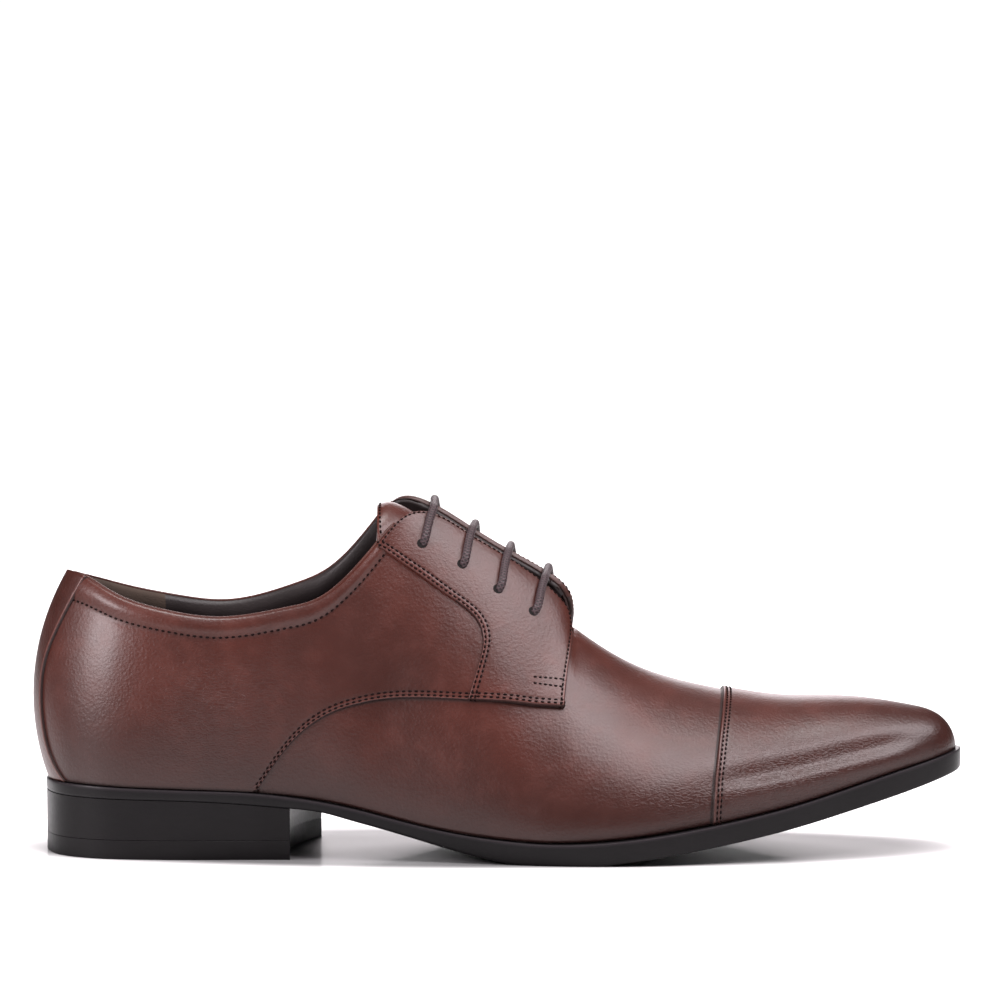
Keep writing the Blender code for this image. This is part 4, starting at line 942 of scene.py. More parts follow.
def panel_piece(name, panel, outer, inner, material, nodes, attributes):
    """Closed sheet over a panel: its outer side, its inner side and the rim between them."""
    columns, rows = panel.shape
    points = np.vstack([panel.points(outer), panel.points(inner)])
    probe = np.cross(panel.base[1, 0] - panel.base[0, 0], panel.base[0, rows // 2] - panel.base[0, 0])
    faces = shell_faces(columns, rows, facing_out=np.dot(probe, panel.normal[0, 0]) > 0)
    inside = {"edge": 0.0, "seam": 1.0, "wrinkle": 0.0, "shade": 0.0}
    values = {key: np.concatenate([np.broadcast_to(value, panel.shape).ravel(),
                                   np.full(panel.s.size, inside[key])]) for key, value in attributes.items()}
    return finished(name, points, faces, material, nodes, values)


def fine_seam(side):
    """t of the quarter's lower edge as a function of s, in small steps along its smooth curve."""
    curve = curve_of(scaled(QUARTER_SEAM, SHOE_LENGTH, INSTEP_HEIGHT))
    places = np.array([LAST.locate(side, x, z) for x, z in curve(np.linspace(0, 1, 90))])
    order = np.argsort(np.abs(places[:, 0]))
    places = np.abs(places[order, 0]), places[order, 1]
    return lambda s: np.interp(np.abs(s), *places, left=0, right=places[1][-1])


SEAM_T = {side: fine_seam(side) for side in (-1, 1)}


def front_cut(t):
    """How far the quarter's front edge stands back at t."""
    return np.interp(t, *np.array(FRONT_CUT).T) * MM


# Heights over the form
QUARTER_TOP = QUARTER_STEP
FACING_TOP = QUARTER_STEP + FACING_GAP + OVERLAY
CAP_TOP = GAP + OVERLAY
STRIP_TOP = QUARTER_STEP + GAP + OVERLAY


def wrinkle_mask(panel):
    """Where the leather's grain is wrinkled: the counter and the low sides of the toe."""
    x = panel.base[:, :, 0] / SHOE_LENGTH
    up = panel.low / INSTEP_HEIGHT
    patches = [np.exp(-((x - place) / along) ** 2 - ((up - height) / high) ** 2)
               for place, height, along, high in WRINKLED]
    return np.clip(sum(patches), 0, 1)


def painted_shade_mask(panel, up=None):
    """Where painted shade darkens the leather: low down all round, on the side of the waist and towards the
    toe.
    """
    x = panel.base[:, :, 0] / SHOE_LENGTH
    up = panel.low if up is None else up
    low = np.exp(-(up / LOW_SHADE) ** 2)
    place, height, along, high, strength = WAIST_SHADE
    waist = strength * np.exp(-((x - place) / along) ** 2 - ((up - height) / high) ** 2)
    reach, strength = TOE_SHADE
    return np.clip(np.maximum(low, waist) + strength * np.exp(-((x - 1.0) / reach) ** 2), 0, 1)


def row_marks(measures, depth):
    """Furrow and painted shade along rows of stitches, each given by its measure and its distance."""
    furrow = depth * sum(ridge(measure, place, FURROW_WIDTH) for measure, place in measures)
    return furrow, sum(ridge(measure, place, ROW_SHADE_WIDTH) for measure, place in measures)


def vamp_columns():
    """Places of the vamp's columns, closer together just behind the cap, and which one is the front line."""
    ankle, front, tip = LAST.station["ankle"], LAST.front, LAST.tip
    rear = np.linspace(ankle, front, int((front - ankle) / VAMP_STEP))
    ahead = np.linspace(front, tip, int((tip - front) / VAMP_STEP))[1:]
    near_cap = LAST.station["cap"] - np.array(NEAR_CAP) * MM
    return np.sort(np.concatenate([rear, ahead, near_cap])), len(rear) - 1


def vamp_rows(seam):
    """t of the vamp's rows: up to the quarter's edge, on below the quarter, then to edge line and ridge."""
    top = np.minimum(seam + UNDERLAP, 1)
    near = np.array(NEAR_SEAM) * MM / PANEL_HEIGHT
    even = LOW_ROWS - len(NEAR_SEAM) + 1 - BEYOND_ROWS
    below = np.maximum(seam - near[0], 0) * np.linspace(0, 1, even)
    close = np.maximum(seam - near[1:], 0)
    beyond = seam - near[-1] + (top - seam + near[-1]) * np.linspace(0, 1, BEYOND_ROWS + 1)[1:]
    half = np.linspace(0, 1, HALF_ROWS)[1:]
    return np.hstack([below, close, beyond, top + (1 - top) * half, 1 + half + 0 * top])


def vamp():
    """Leather of the foot part in one piece: sides below the quarters, top from the throat to the toe."""
    places, behind = vamp_columns()
    throat = behind - THROAT_COLUMNS
    layers = []
    faces = []
    marks = {"seam": [], "wrinkle": [], "shade": []}
    for side in (-1, 1):
        s = side * places
        seam_t = SEAM_T[side](s)[:, None]
        panel = Panel(s[:, None], vamp_rows(seam_t))
        count = panel.s.size
        rows = panel.shape[1]
        first = sum(len(layer) for layer in layers)
        quads = []
        for c in range(panel.shape[0] - 1):
            reach = rows - 1 if c >= behind else (rows - HALF_ROWS if c >= throat else LOW_ROWS - 1)
            quads += [[c * rows + r, (c + 1) * rows + r, (c + 1) * rows + r + 1, c * rows + r + 1]
                      for r in range(reach)]
        if side < 0:
            quads = [quad[::-1] for quad in quads]
        faces += [[i + first for i in quad] for quad in quads]
        faces += [[i + first + count for i in reversed(quad)] for quad in quads]
        joined = ((panel.t >= 2) | (np.abs(panel.s) >= LAST.tip)).ravel()
        faces += [[i + first for i in ring] for ring in rim_of(quads, count, joined)]
        pair = [panel.points(vamp_form(panel)), panel.points(-VAMP_LEATHER)]
        if layers:
            for layer, mate in zip(pair, layers):
                layer[joined] = mate[joined]
        layers += pair
        # Painted shade on the vamp: just behind the cap's edge, just below the quarter's edge and along the
        # sole
        cap_gap = LAST.station["cap"] - np.abs(panel.s)
        under = (cap_gap < 0.55 * MM) * 0.95
        below = 1 - (seam_t - panel.t) * PANEL_HEIGHT / (0.55 * MM)
        below = np.clip(below, 0, 1) * (np.abs(panel.s) < LAST.front) * (seam_t > 0.03)
        seam = np.maximum(np.clip(1 - panel.low / (1.0 * MM), 0, 1), np.maximum(under, below)).ravel()
        marks["seam"] += [seam, seam]
        marks["wrinkle"] += [wrinkle_mask(panel).ravel()] * 2
        marks["shade"] += [painted_shade_mask(panel).ravel()] * 2
    piece = finished("vamp_leather", np.vstack(layers), faces, leather, ["upper"],
                     {key: np.concatenate(values) for key, values in marks.items()})
    tidy_shell(piece)


def rim_of(quads, count, joined):
    """Faces that close the border of a set of quads, but not where it joins its mirror image."""
    uses = {}
    for quad in quads:
        for a, b in zip(quad, quad[1:] + quad[:1]):
            uses[frozenset((a, b))] = uses.get(frozenset((a, b)), 0) + 1
    rim = []
    for quad in quads:
        for a, b in zip(quad, quad[1:] + quad[:1]):
            if uses[frozenset((a, b))] == 1 and not (joined[a] and joined[b]):
                rim.append([b, a, a + count, b + count])
    return rim


def trough(panel, start, end, width, depth):
    """Soft crease between two places given as x and height over the feather line, in shares of the shoe."""
    x = panel.base[:, :, 0] / SHOE_LENGTH
    up = panel.low / SHOE_LENGTH
    way = np.subtract(end, start)
    length = np.hypot(*way)
    along = ((x - start[0]) * way[0] + (up - start[1]) * way[1]) / length
    off = ((x - start[0]) * way[1] - (up - start[1]) * way[0]) / length
    middle = np.clip(along / length, 0, 1)
    fade = np.exp(-((along - middle * length) / width) ** 2) * np.sin(math.pi * (0.12 + 0.76 * middle))
    return -depth * MM * fade * np.exp(-(off / width) ** 2)


def smooth_step(share):
    """0 up to 0 and 1 from 1 on, smooth between them."""
    share = np.clip(share, 0, 1)
    return share * share * (3 - 2 * share)


def toe_shelf(panel, up):
    """Chisel line: the side turns up over a narrow shelf and then stands steep again."""
    x, height = np.array(TOE_SHELF).T
    along = np.clip(panel.base[:, :, 0] / MM, x[0], x[-1])
    off = (up - Spline(x, height)(along.ravel()).reshape(along.shape) * MM) / SHELF_WIDTH
    start, growth, end, fading = SHELF_ENDS
    strength = smooth_step((along - start) / growth) * smooth_step((end - along) / fading)
    strength = strength * np.where(panel.s > 0, INNER_SHELF, 1)
    return -SHELF_DEPTH * strength * off * np.exp(0.5 - off ** 2 / 2)


def vamp_form(panel):
    """Shelf of the toe and, on the outer side, the few soft creases over the ball."""
    result = toe_shelf(panel, panel.low)
    if panel.s[0, 0] < 0:
        for start, end, width, depth in VAMP_CREASES:
            result = result + trough(panel, start, end, width, depth)
    return result


stitch_routes = []


def collar_drop(s):
    """How far the collar's stitch row lies below the topline."""
    return COLLAR_DROP + BACK_DROP * np.exp(-(s / (BACK_DROP_REACH * SHOE_LENGTH)) ** 2)


def quarters():
    """Both quarters in one band round the heel, with the padded collar."""
    s = LAST.front * (2 * spaced(2 * LAST.front, True, True, 1.7 * MM) - 1)
    low = np.array([float(SEAM_T[1 if place > 0 else -1](place)) for place in s])
    share = spaced(60 * MM, True, True, 1.5 * MM)
    t = low[:, None] + (1 - low[:, None]) * share[None, :]
    near_front = np.clip((np.abs(s) - LAST.front) / (25 * MM) + 1, 0, 1)[:, None]
    panel = Panel(s[:, None] - np.sign(s)[:, None] * near_front * (front_cut(t) + 0.25 * MM), t)
    free = (low > 0.02)[:, None]
    edge_low = np.where(free, panel.low, 1.0)
    feather = LAST.offset(s, 0, 0)[:, None, :]
    up = np.linalg.norm(panel.base - feather, axis=2)
    drop = collar_drop(s)[:, None]
    collar = np.clip((LAST.station["top_front"] - np.abs(s)[:, None]) / (20 * MM), 0, 1)
    bulge = collar * COLLAR_BULGE * np.sin(np.clip(panel.high / drop, 0, 1) * math.pi) ** 0.8
    furrow, rows_dark = row_marks([(edge_low, place) for place in QUARTER_ROWS], FURROW_DEPTH)
    furrow = furrow + collar * 0.30 * MM * ridge(panel.high, drop, 0.7 * MM)
    sides = roll(panel.start) * roll(panel.end) * roll(edge_low)
    height = QUARTER_TOP * sides * roll(panel.high, 1.2 * MM) + bulge - furrow
    edge, cut = edge_marks(np.minimum(edge_low, np.minimum(panel.start, panel.end)))
    # Painted shade along the sole where the quarter comes down to it, along its rows and the collar's row
    seam = np.maximum(np.where(free, 0, np.clip(1 - panel.low / (1.0 * MM), 0, 1)), cut)
    rows_dark = rows_dark + (collar > 0) * ridge(panel.high, drop, 0.4 * MM)
    seam = np.maximum(seam, ROW_SHADE * np.clip(rows_dark, 0, 1))
    # Painted highlight on the leather between the two rows
    edge = edge + 0.6 * ridge(edge_low, sum(QUARTER_ROWS) / 2, BETWEEN_WIDTH)
    panel_piece("quarters", panel, height, -0.05 * MM, leather, ["upper"],
                {"edge": edge, "seam": seam, "wrinkle": wrinkle_mask(panel), "shade": painted_shade_mask(panel, up)})
    for side in (-1, 1):
        keep = (s * side > 0) & (low > 0.02)
        for place in QUARTER_ROWS:
            stitch_routes.append((panel.line("low", place, height)[keep], QUARTER_PITCH))
    keep = np.abs(s) < LAST.station["top"]
    stitch_routes.append((panel.line("high", collar_drop(s), height)[keep], COLLAR_PITCH))


def toe_cap():
    cap = LAST.station["cap"]
    along = spaced(LAST.tip - cap, True, False, 1.6 * MM)
    s = cap + (LAST.tip - cap) * along
    t = np.concatenate([np.linspace(0, 1, 44), np.linspace(1, 2, 16)[1:]])
    across_t = np.concatenate([t, t[-2::-1]])
    across_side = np.concatenate([-np.ones(len(t)), np.ones(len(t) - 1)])
    panel = Panel(s[:, None] * across_side[None, :], np.tile(across_t, (len(s), 1)))
    from_seam = panel.start
    furrow, rows_dark = row_marks([(from_seam, place) for place in CAP_ROWS], FURROW_DEPTH)
    fold = 0.25 * MM * ridge(from_seam, 0.7 * MM, 0.45 * MM)
    near_sole = np.minimum(panel.low, panel.high)
    shelf = toe_shelf(panel, near_sole)
    height = CAP_TOP * roll(from_seam) + fold - furrow + shelf
    edge, cut = edge_marks(from_seam)
    # Half the edge's light line, and a painted highlight between the two rows
    edge = edge * 0.5 + 0.5 * ridge(from_seam, sum(CAP_ROWS) / 2, BETWEEN_WIDTH)
    # Painted shade along the rows of stitches and along the sole, with the dark cut edge
    cut = np.maximum(cut, ROW_SHADE * np.clip(rows_dark, 0, 1))
    seam = np.maximum(np.clip(1 - near_sole / (1.0 * MM), 0, 1), cut)
    panel_piece("toe_cap_leather", panel, height, 0.05 * MM + shelf, leather, ["toe_cap"],
                {"edge": edge, "seam": seam, "wrinkle": wrinkle_mask(panel),
                 "shade": painted_shade_mask(panel, near_sole)})
    for place in CAP_ROWS:
        stitch_routes.append((panel.line("start", place, height), CAP_PITCH))


def facing(word, side):
    """Eyelet facing over the quarter, ruled from its rear seam to its front and lace edges."""
    rear = curve_of(seam_on(side, FACING_SEAM)[::-1])
    corner = FACING_CORNER
    top = rear(1)[0][0]
    low = float(SEAM_T[side](LAST.front))
    shares = np.concatenate([corner * spaced(30 * MM, True, False, 0.9 * MM),
                             corner + (1 - corner) * (np.linspace(0, 1, 70)[1:] ** 1.4)])
    across = spaced(36 * MM, True, True, 1.0 * MM)
    s_rows = []
    t_rows = []
    for share in shares:
        back = rear(share)[0]
        if share <= corner:
            high = low + (1 - low) * share / corner
            ahead = np.array([side * (LAST.front - front_cut(high)), high])
        else:
            tip = side * (LAST.front - front_cut(1))
            ahead = np.array([tip + (top - tip) * (share - corner) / (1 - corner), 1])
        line = back + across[:, None] * (ahead - back)
        low_line = rear(0)[0][1] + across * (low - rear(0)[0][1])
        sag = max(1 - share / corner, 0) * (SEAM_T[side](line[:, 0]) - low_line)
        s_rows.append(line[:, 0])
        t_rows.append(line[:, 1] + sag)
    panel = Panel(np.array(s_rows), np.array(t_rows))
    around = np.minimum(np.minimum(panel.low, panel.high), panel.start)
    measures = [(getattr(panel, which), place) for which, place, _ in FACING_ROWS]
    furrow, rows_dark = row_marks(measures, FACING_FURROW_DEPTH)
    height = QUARTER_TOP * 0.8 + (FACING_TOP - QUARTER_TOP * 0.8) * roll(around) - furrow
    edge, cut = edge_marks(around)
    cut = cut * np.where(shares > corner, 0.25, 1)[:, None]
    # Painted shade along the rows of stitches, with the dark cut edge
    seam = np.maximum(cut, ROW_SHADE * np.clip(rows_dark, 0, 1))
    # Painted highlight between the low rows and between the start rows
    edge = edge + 0.6 * ridge(panel.low, BETWEEN_LOW_ROWS, BETWEEN_WIDTH)
    edge = edge + 0.5 * ridge(panel.start, BETWEEN_START_ROWS, BETWEEN_WIDTH)
    panel_piece(f"facing_{word}_leather", panel, height, -0.1 * MM, leather, [f"facing_{word}"],
                {"edge": edge, "seam": seam, "wrinkle": 0.15})
    for which, place, pitch in FACING_ROWS:
        stitch_routes.append((panel.line(which, place, height), pitch))
    for start, end in BARTACK:
        spots = np.array(start) + np.linspace(0, 1, 9)[:, None] * np.subtract(end, start)
        line = np.array([LAST.locate(side, x * SHOE_LENGTH, z * INSTEP_HEIGHT) for x, z in spots])
        stitch_routes.append((LAST.offset(line[:, 0], line[:, 1], FACING_TOP - 0.05 * MM), BARTACK_PITCH))


def back_strip():
    widths = Spline(*np.array(STRIP_WIDTH).T)
    t = np.linspace(0, 1, 70)
    across = 2 * spaced(20 * MM, True, True, 1.0 * MM) - 1
    s_rows = []
    reach = np.linspace(0, LAST.station["seat"], 80)
    for share in t:
        width = float(widths(share)[0, 0]) * BALL_WIDTH
        s_rows.append(np.interp(width, LAST.point(reach, share)[:, 1], reach) * across)
    panel = Panel(np.array(s_rows), np.tile(t[:, None], (1, len(across))))
    sides = np.minimum(panel.low, panel.high)
    height = QUARTER_TOP * 0.8 + (STRIP_TOP - QUARTER_TOP * 0.8) * roll(sides)
    edge, cut = edge_marks(sides)
    # Painted shade over the whole strip, and its cut edge dark, partly painted shadow
    panel_piece("back_strip_leather", panel, height, -0.1 * MM, leather, ["back_strip"],
                {"edge": edge, "seam": cut, "wrinkle": 0.1, "shade": 0.55})


def lining():
    """Black lining, padded at the collar, that comes up to the topline and the lace edges."""
    reach = LAST.front - 3.6 * MM
    s = np.linspace(-reach, reach, 240)
    share = 1 - spaced(60 * MM, True, False, 1.6 * MM)[::-1]
    panel = Panel(s[:, None], share[None, :] * np.ones((len(s), 1)))
    collar = np.clip((LAST.station["top"] - np.abs(s)[:, None]) / (25 * MM), 0, 1)
    pad = collar * LINING_PAD * np.sin(np.clip(panel.high / LINING_PAD_DROP, 0, 1) * math.pi) ** 0.7
    inner = -WALL - pad
    lace_edge = (np.abs(s)[:, None] > LAST.station["top_front"]) & (panel.high < 1.5 * MM)
    outer = np.where(lace_edge, 0.0, -0.75 * MM) + 0 * pad
    rim = roll(panel.high, 0.9 * MM)
    inner = -0.9 * MM + (inner + 0.9 * MM) * rim
    piece = panel_piece("quarter_lining", panel, outer, inner, lining_black, ["upper"],
                        {"edge": 0.0, "seam": 0.0})
    piece.data.materials.append(suede_black)
    rear = HEEL_GRIP * SHOE_LENGTH + SHIFT[0]
    for face in piece.data.polygons:
        face.material_index = int(face.center[0] < rear)
    collar_bead = LAST.offset(s[np.abs(s) < LAST.station["top"]], 1, -0.35 * MM)
    tube("collar_piping", collar_bead, PIPING_RADIUS, leather_trim, ["upper"], 8, 1.5 * MM)


def tongue():
    start = LAST.front + TONGUE_UNDER
    end = LAST.station["top"] - TONGUE_TOP
    columns = []
    for share in np.linspace(0, 1, 60):
        s = start + (end - start) * share
        side_t = np.linspace(TONGUE_LOW, 1, 14)
        slant = share ** 8 * np.interp(side_t, [TONGUE_LOW, 1], TONGUE_SLANT)
        sink = LACE_ROOM * np.clip(share / TONGUE_SINK, 0, 1) * np.interp(side_t, [TONGUE_LOW, 1], [0, 1])
        depth = WALL + GAP + TONGUE_EASE + sink
        lines = {side: LAST.offset(side * (s + slant), side_t, -depth) for side in (-1, 1)}
        if s > LAST.front:
            ridge_t = 1 + np.linspace(0, 1, 12)[1:]
            under = -WALL - GAP - TONGUE_EASE
            middle = np.vstack([LAST.offset(-s, ridge_t, under), LAST.offset(s, ridge_t[:-1], under)[::-1]])
        else:
            ends = [lines[-1][-1], lines[1][-1]]
            lean = [lines[-1][-1] - lines[-1][-2], lines[1][-1] - lines[1][-2]]
            reach = np.linalg.norm(ends[1] - ends[0]) * TONGUE_ARCH
            lean = [way / np.linalg.norm(way) * reach for way in lean]
            controls = np.array([[ends[0], ends[0] + lean[0], ends[1] + lean[1], ends[1]]])
            middle = np.vstack([bezier(controls, np.array([w])) for w in np.linspace(0, 1, 23)[1:-1]])
        columns.append(np.vstack([lines[-1], middle, lines[1][::-1]]))
    outer = np.array(columns)
    normal = np.cross(np.gradient(outer, axis=0), np.gradient(outer, axis=1))
    normal /= np.linalg.norm(normal, axis=2)[:, :, None]
    if normal[:, :, 2].mean() < 0:
        normal = -normal
    stitch_routes.append((outer[-2] + 0.05 * MM * normal[-2], QUARTER_PITCH))
    inner = outer - normal * TONGUE_THICKNESS
    columns, rows, _ = outer.shape
    # Burnish and painted highlight along the tongue's upper end
    edge = 0.6 * (np.arange(2 * columns * rows) // rows == columns - 1)
    finished("tongue_leather", np.vstack([outer.reshape(-1, 3), inner.reshape(-1, 3)]),
             shell_faces(columns, rows, facing_out=False), leather, ["tongue"],
             {"edge": edge})


def tube(name, route, radius, material, nodes, sides=14, step=0.8 * MM):
    """Round cord on a smooth route, with a UV map that runs round it and along it."""
    route = np.asarray(route)
    knots = np.concatenate([[0], np.cumsum(np.linalg.norm(np.diff(route, axis=0), axis=1))])
    curve = Spline(knots, route)
    places = np.linspace(0, knots[-1], int(knots[-1] / step) + 2)
    line = curve(places)
    along = np.gradient(line, axis=0)
    along /= np.linalg.norm(along, axis=1)[:, None]
    side = np.cross(along[0], (0, 0, 1.0))
    angle = np.linspace(0, math.tau, sides, endpoint=False)
    points = []
    for spot, way in zip(line, along):
        side = side - way * np.dot(side, way)
        side /= np.linalg.norm(side)
        up = np.cross(way, side)
        points += [spot + radius * (math.cos(a) * side + math.sin(a) * up) for a in angle]
    faces = []
    uv = []
    length = places / (2 * radius)
    for c in range(len(line) - 1):
        for r in range(sides):
            after = (r + 1) % sides
            faces.append([c * sides + r, c * sides + after, (c + 1) * sides + after, (c + 1) * sides + r])
            uv += [(r / sides, length[c]), ((r + 1) / sides, length[c]),
                   ((r + 1) / sides, length[c + 1]), (r / sides, length[c + 1])]
    faces.append(list(range(sides))[::-1])
    faces.append([(len(line) - 1) * sides + r for r in range(sides)])
    uv += [(0, 0)] * (2 * sides)
    finished(name, points, faces, material, nodes, uv=uv)


def lace():
    """Four straight bars, each over both facings and down through its two eyelets."""
    radius = LACE_DIAMETER / 2
    for number, place in enumerate(EYELETS, 1):
        s, t = LAST.locate(-1, place[0] * SHOE_LENGTH, place[1] * INSTEP_HEIGHT)
        top = FACING_TOP + radius
        depth = np.array([-3.2 * MM, -0.5 * MM, top * 0.75, top])
        entry_t = np.array([t, t, t + 0.012, t + 0.04])
        rest_t = np.linspace(t + 0.04, 1, 5)[1:]
        lean = place[2] * SHOE_LENGTH
        skew = lean * np.linspace(0, LACE_TURN, 8)
        t_line = np.concatenate([entry_t, rest_t])
        height = np.concatenate([depth, np.full(4, top)])
        left = LAST.offset(s - skew, t_line, height)
        right = LAST.offset(-s + lean - skew, t_line, height)[::-1]
        controls = np.array([[left[-1], left[-1] + (left[-1] - left[-2]) / 2,
                              right[0] + (right[0] - right[1]) / 2, right[0]]])
        middle = bezier(np.repeat(controls, 3, axis=0), np.array([0.25, 0.5, 0.75]))
        tube(f"lace_{number}", np.vstack([left, middle, right]), radius, lace_brown,
             [f"lace_bar_{number}"])


def slab_piece(name, plans, heights, material, nodes, attributes=None):
    """Slab from its levels, the top one first, with a rim through the levels between."""
    columns, rows, _ = plans[0].shape
    layers = []
    for plan, height in zip(plans, heights):
        flat = plan.reshape(-1, 2)
        layers.append(np.column_stack([flat, height(flat[:, 0])]))
    piece = finished(name, np.vstack(layers), shell_faces(columns, rows, len(plans)), material, nodes,
                     attributes)
    tidy_shell(piece)
    piece.data.set_sharp_from_angle(angle=math.radians(35))


def tidy_shell(piece):
    """Merge points that fall together and turn every face outwards."""
    work = bmesh.new()
    work.from_mesh(piece.data)
    bmesh.ops.remove_doubles(work, verts=work.verts, dist=2e-6)
    bmesh.ops.dissolve_degenerate(work, edges=work.edges, dist=1e-6)
    loose = [point for point in work.verts if not point.link_faces]
    bmesh.ops.delete(work, geom=loose, context="VERTS")
    bmesh.ops.recalc_face_normals(work, faces=work.faces)
    work.to_mesh(piece.data)
    work.free()


def outsole():
    shares = (crowded(SOLE_STATIONS) + 2 * np.linspace(0, 1, SOLE_STATIONS)) / 3
    plans = [sole_plan(inset * MM, shares) for inset, _ in RIM_FROM_TOP + RIM_FROM_UNDERSIDE]
    heights = [lambda x, drop=drop: sole_top(x) - drop * MM for _, drop in RIM_FROM_TOP]
    heights += [lambda x, rise=rise: sole_bottom(x) + rise * MM for _, rise in RIM_FROM_UNDERSIDE]
    line = np.repeat(RIM_HIGHLIGHT, plans[0].shape[0] * plans[0].shape[1])
    slab_piece("outsole_black", plans, heights, sole_rubber, ["outsole"], {"edge": line})


def level(height):
    """A flat height as a function of the place, as a slab's levels are given."""
    return lambda x: np.full(len(x), height)


def heel():
    low = HEEL_INSET + HEEL_TAPER
    plans = [heel_plan(HEEL_INSET), heel_plan(HEEL_INSET), heel_plan(low)]
    heights = [sole_bottom, lambda x: sole_bottom(x) - 0.3 * MM, level(TOP_PIECE_THICKNESS + 0.05 * MM)]
    slab_piece("heel_stack", plans, heights, sole_rubber, ["heel_block"])
    plans = [heel_plan(low + 0.15 * MM), heel_plan(low), heel_plan(low), heel_plan(low + 0.3 * MM)]
    heights = [level(rise) for rise in (TOP_PIECE_THICKNESS, TOP_PIECE_THICKNESS - 0.15 * MM, 0.3 * MM, 0.0)]
    slab_piece("heel_wearing_piece", plans, heights, sole_rubber, ["heel_top_piece"])


def footbed():
    s = LAST.tip * late(90)
    across = np.linspace(0, 1, 15)[None, :, None]
    plans = []
    for distance in (WALL + GAP + 2.2 * MM, WALL + GAP + 1.2 * MM, WALL + GAP):
        left = LAST.offset(-s, 0, -distance)[:, :2]
        right = LAST.offset(s, 0, -distance)[:, :2]
        left[[0, -1]] = right[[0, -1]]
        plans.append(left[:, None] + across * (right - left)[:, None])
    heights = [lambda x, rise=rise: sole_top(x) + GAP + rise
               for rise in (INSOLE_THICKNESS, INSOLE_THICKNESS - 0.5 * MM, 0.0)]
    slab_piece("footbed_black", plans, heights, lining_black, ["insole"])


def stitch_tree():
    """Stitches along curves: even steps, one small rounded stitch at each, turned along the seam."""
    tree = bpy.data.node_groups.new("stitch_row", "GeometryNodeTree")
    tree.interface.new_socket("Geometry", in_out="INPUT", socket_type="NodeSocketGeometry")
    for name in ("Pitch", "Length", "Diameter"):
        tree.interface.new_socket(name, in_out="INPUT", socket_type="NodeSocketFloat")
    tree.interface.new_socket("Thread", in_out="INPUT", socket_type="NodeSocketMaterial")
    tree.interface.new_socket("Geometry", in_out="OUTPUT", socket_type="NodeSocketGeometry")

    def node(kind, settings=None, inputs=None):
        made = tree.nodes.new(kind)
        for key, value in (settings or {}).items():
            setattr(made, key, value)
        for key, value in (inputs or {}).items():
            if isinstance(value, bpy.types.NodeSocket):
                tree.links.new(value, made.inputs[key])
            else:
                made.inputs[key].default_value = value
        return made

    source = node("NodeGroupInput").outputs
    curve = node("GeometryNodeMeshToCurve", None, {"Mesh": source["Geometry"]})
    even = node("GeometryNodeResampleCurve", {"mode": "LENGTH"},
                {"Curve": curve.outputs[0], "Length": source["Pitch"]})
    bead = node("GeometryNodeMeshUVSphere", None, {"Segments": 8, "Rings": 6, "Radius": 0.5})
    size = node("ShaderNodeCombineXYZ", None, {"X": source["Length"], "Y": source["Diameter"],
                                               "Z": source["Diameter"]})
    tangent = node("GeometryNodeInputTangent")
    turn = node("FunctionNodeAlignRotationToVector", {"axis": "X"}, {"Vector": tangent.outputs[0]})
    placed = node("GeometryNodeInstanceOnPoints", None, {"Points": even.outputs[0],
                                                         "Instance": bead.outputs["Mesh"],
                                                         "Rotation": turn.outputs[0],
                                                         "Scale": size.outputs[0]})
    real = node("GeometryNodeRealizeInstances", None, {"Geometry": placed.outputs[0]})
    smooth = node("GeometryNodeSetShadeSmooth", None, {"Geometry": real.outputs[0]})
    dressed = node("GeometryNodeSetMaterial", None, {"Geometry": smooth.outputs[0],
                                                     "Material": source["Thread"]})
    node("NodeGroupOutput", None, {"Geometry": dressed.outputs[0]})
    return tree


def stitches():
    """Stitch rows as plain meshes, one for each pitch."""
    tree = stitch_tree()
    sockets = {item.name: item.identifier for item in tree.interface.items_tree if item.in_out == "INPUT"}
    for pitch in sorted({pitch for _, pitch in stitch_routes}):
        points = []
        edges = []
        for route, step in stitch_routes:
            if step == pitch:
                first = len(points)
                points += [tuple(point + SHIFT) for point in route]
                edges += [(first + i, first + i + 1) for i in range(len(route) - 1)]
        mesh = bpy.data.meshes.new("stitch_lines")
        mesh.from_pydata(points, edges, [])
        guide = bpy.data.objects.new("stitch_lines", mesh)
        bpy.context.scene.collection.objects.link(guide)
        modifier = guide.modifiers.new("stitches", "NODES")
        modifier.node_group = tree
        modifier[sockets["Pitch"]] = pitch
        modifier[sockets["Length"]] = STITCH_LENGTH
        modifier[sockets["Diameter"]] = STITCH_DIAMETER
        modifier[sockets["Thread"]] = dark_thread
        graph = bpy.context.evaluated_depsgraph_get()
        plain = bpy.data.meshes.new_from_object(guide.evaluated_get(graph))
        bpy.data.objects.remove(guide, do_unlink=True)
        name = f"stitches_{int(round(pitch / MM * 100))}"
        piece = bpy.data.objects.new(name, plain)
        bpy.context.scene.collection.objects.link(piece)
        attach(piece, "root")
        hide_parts("upper")


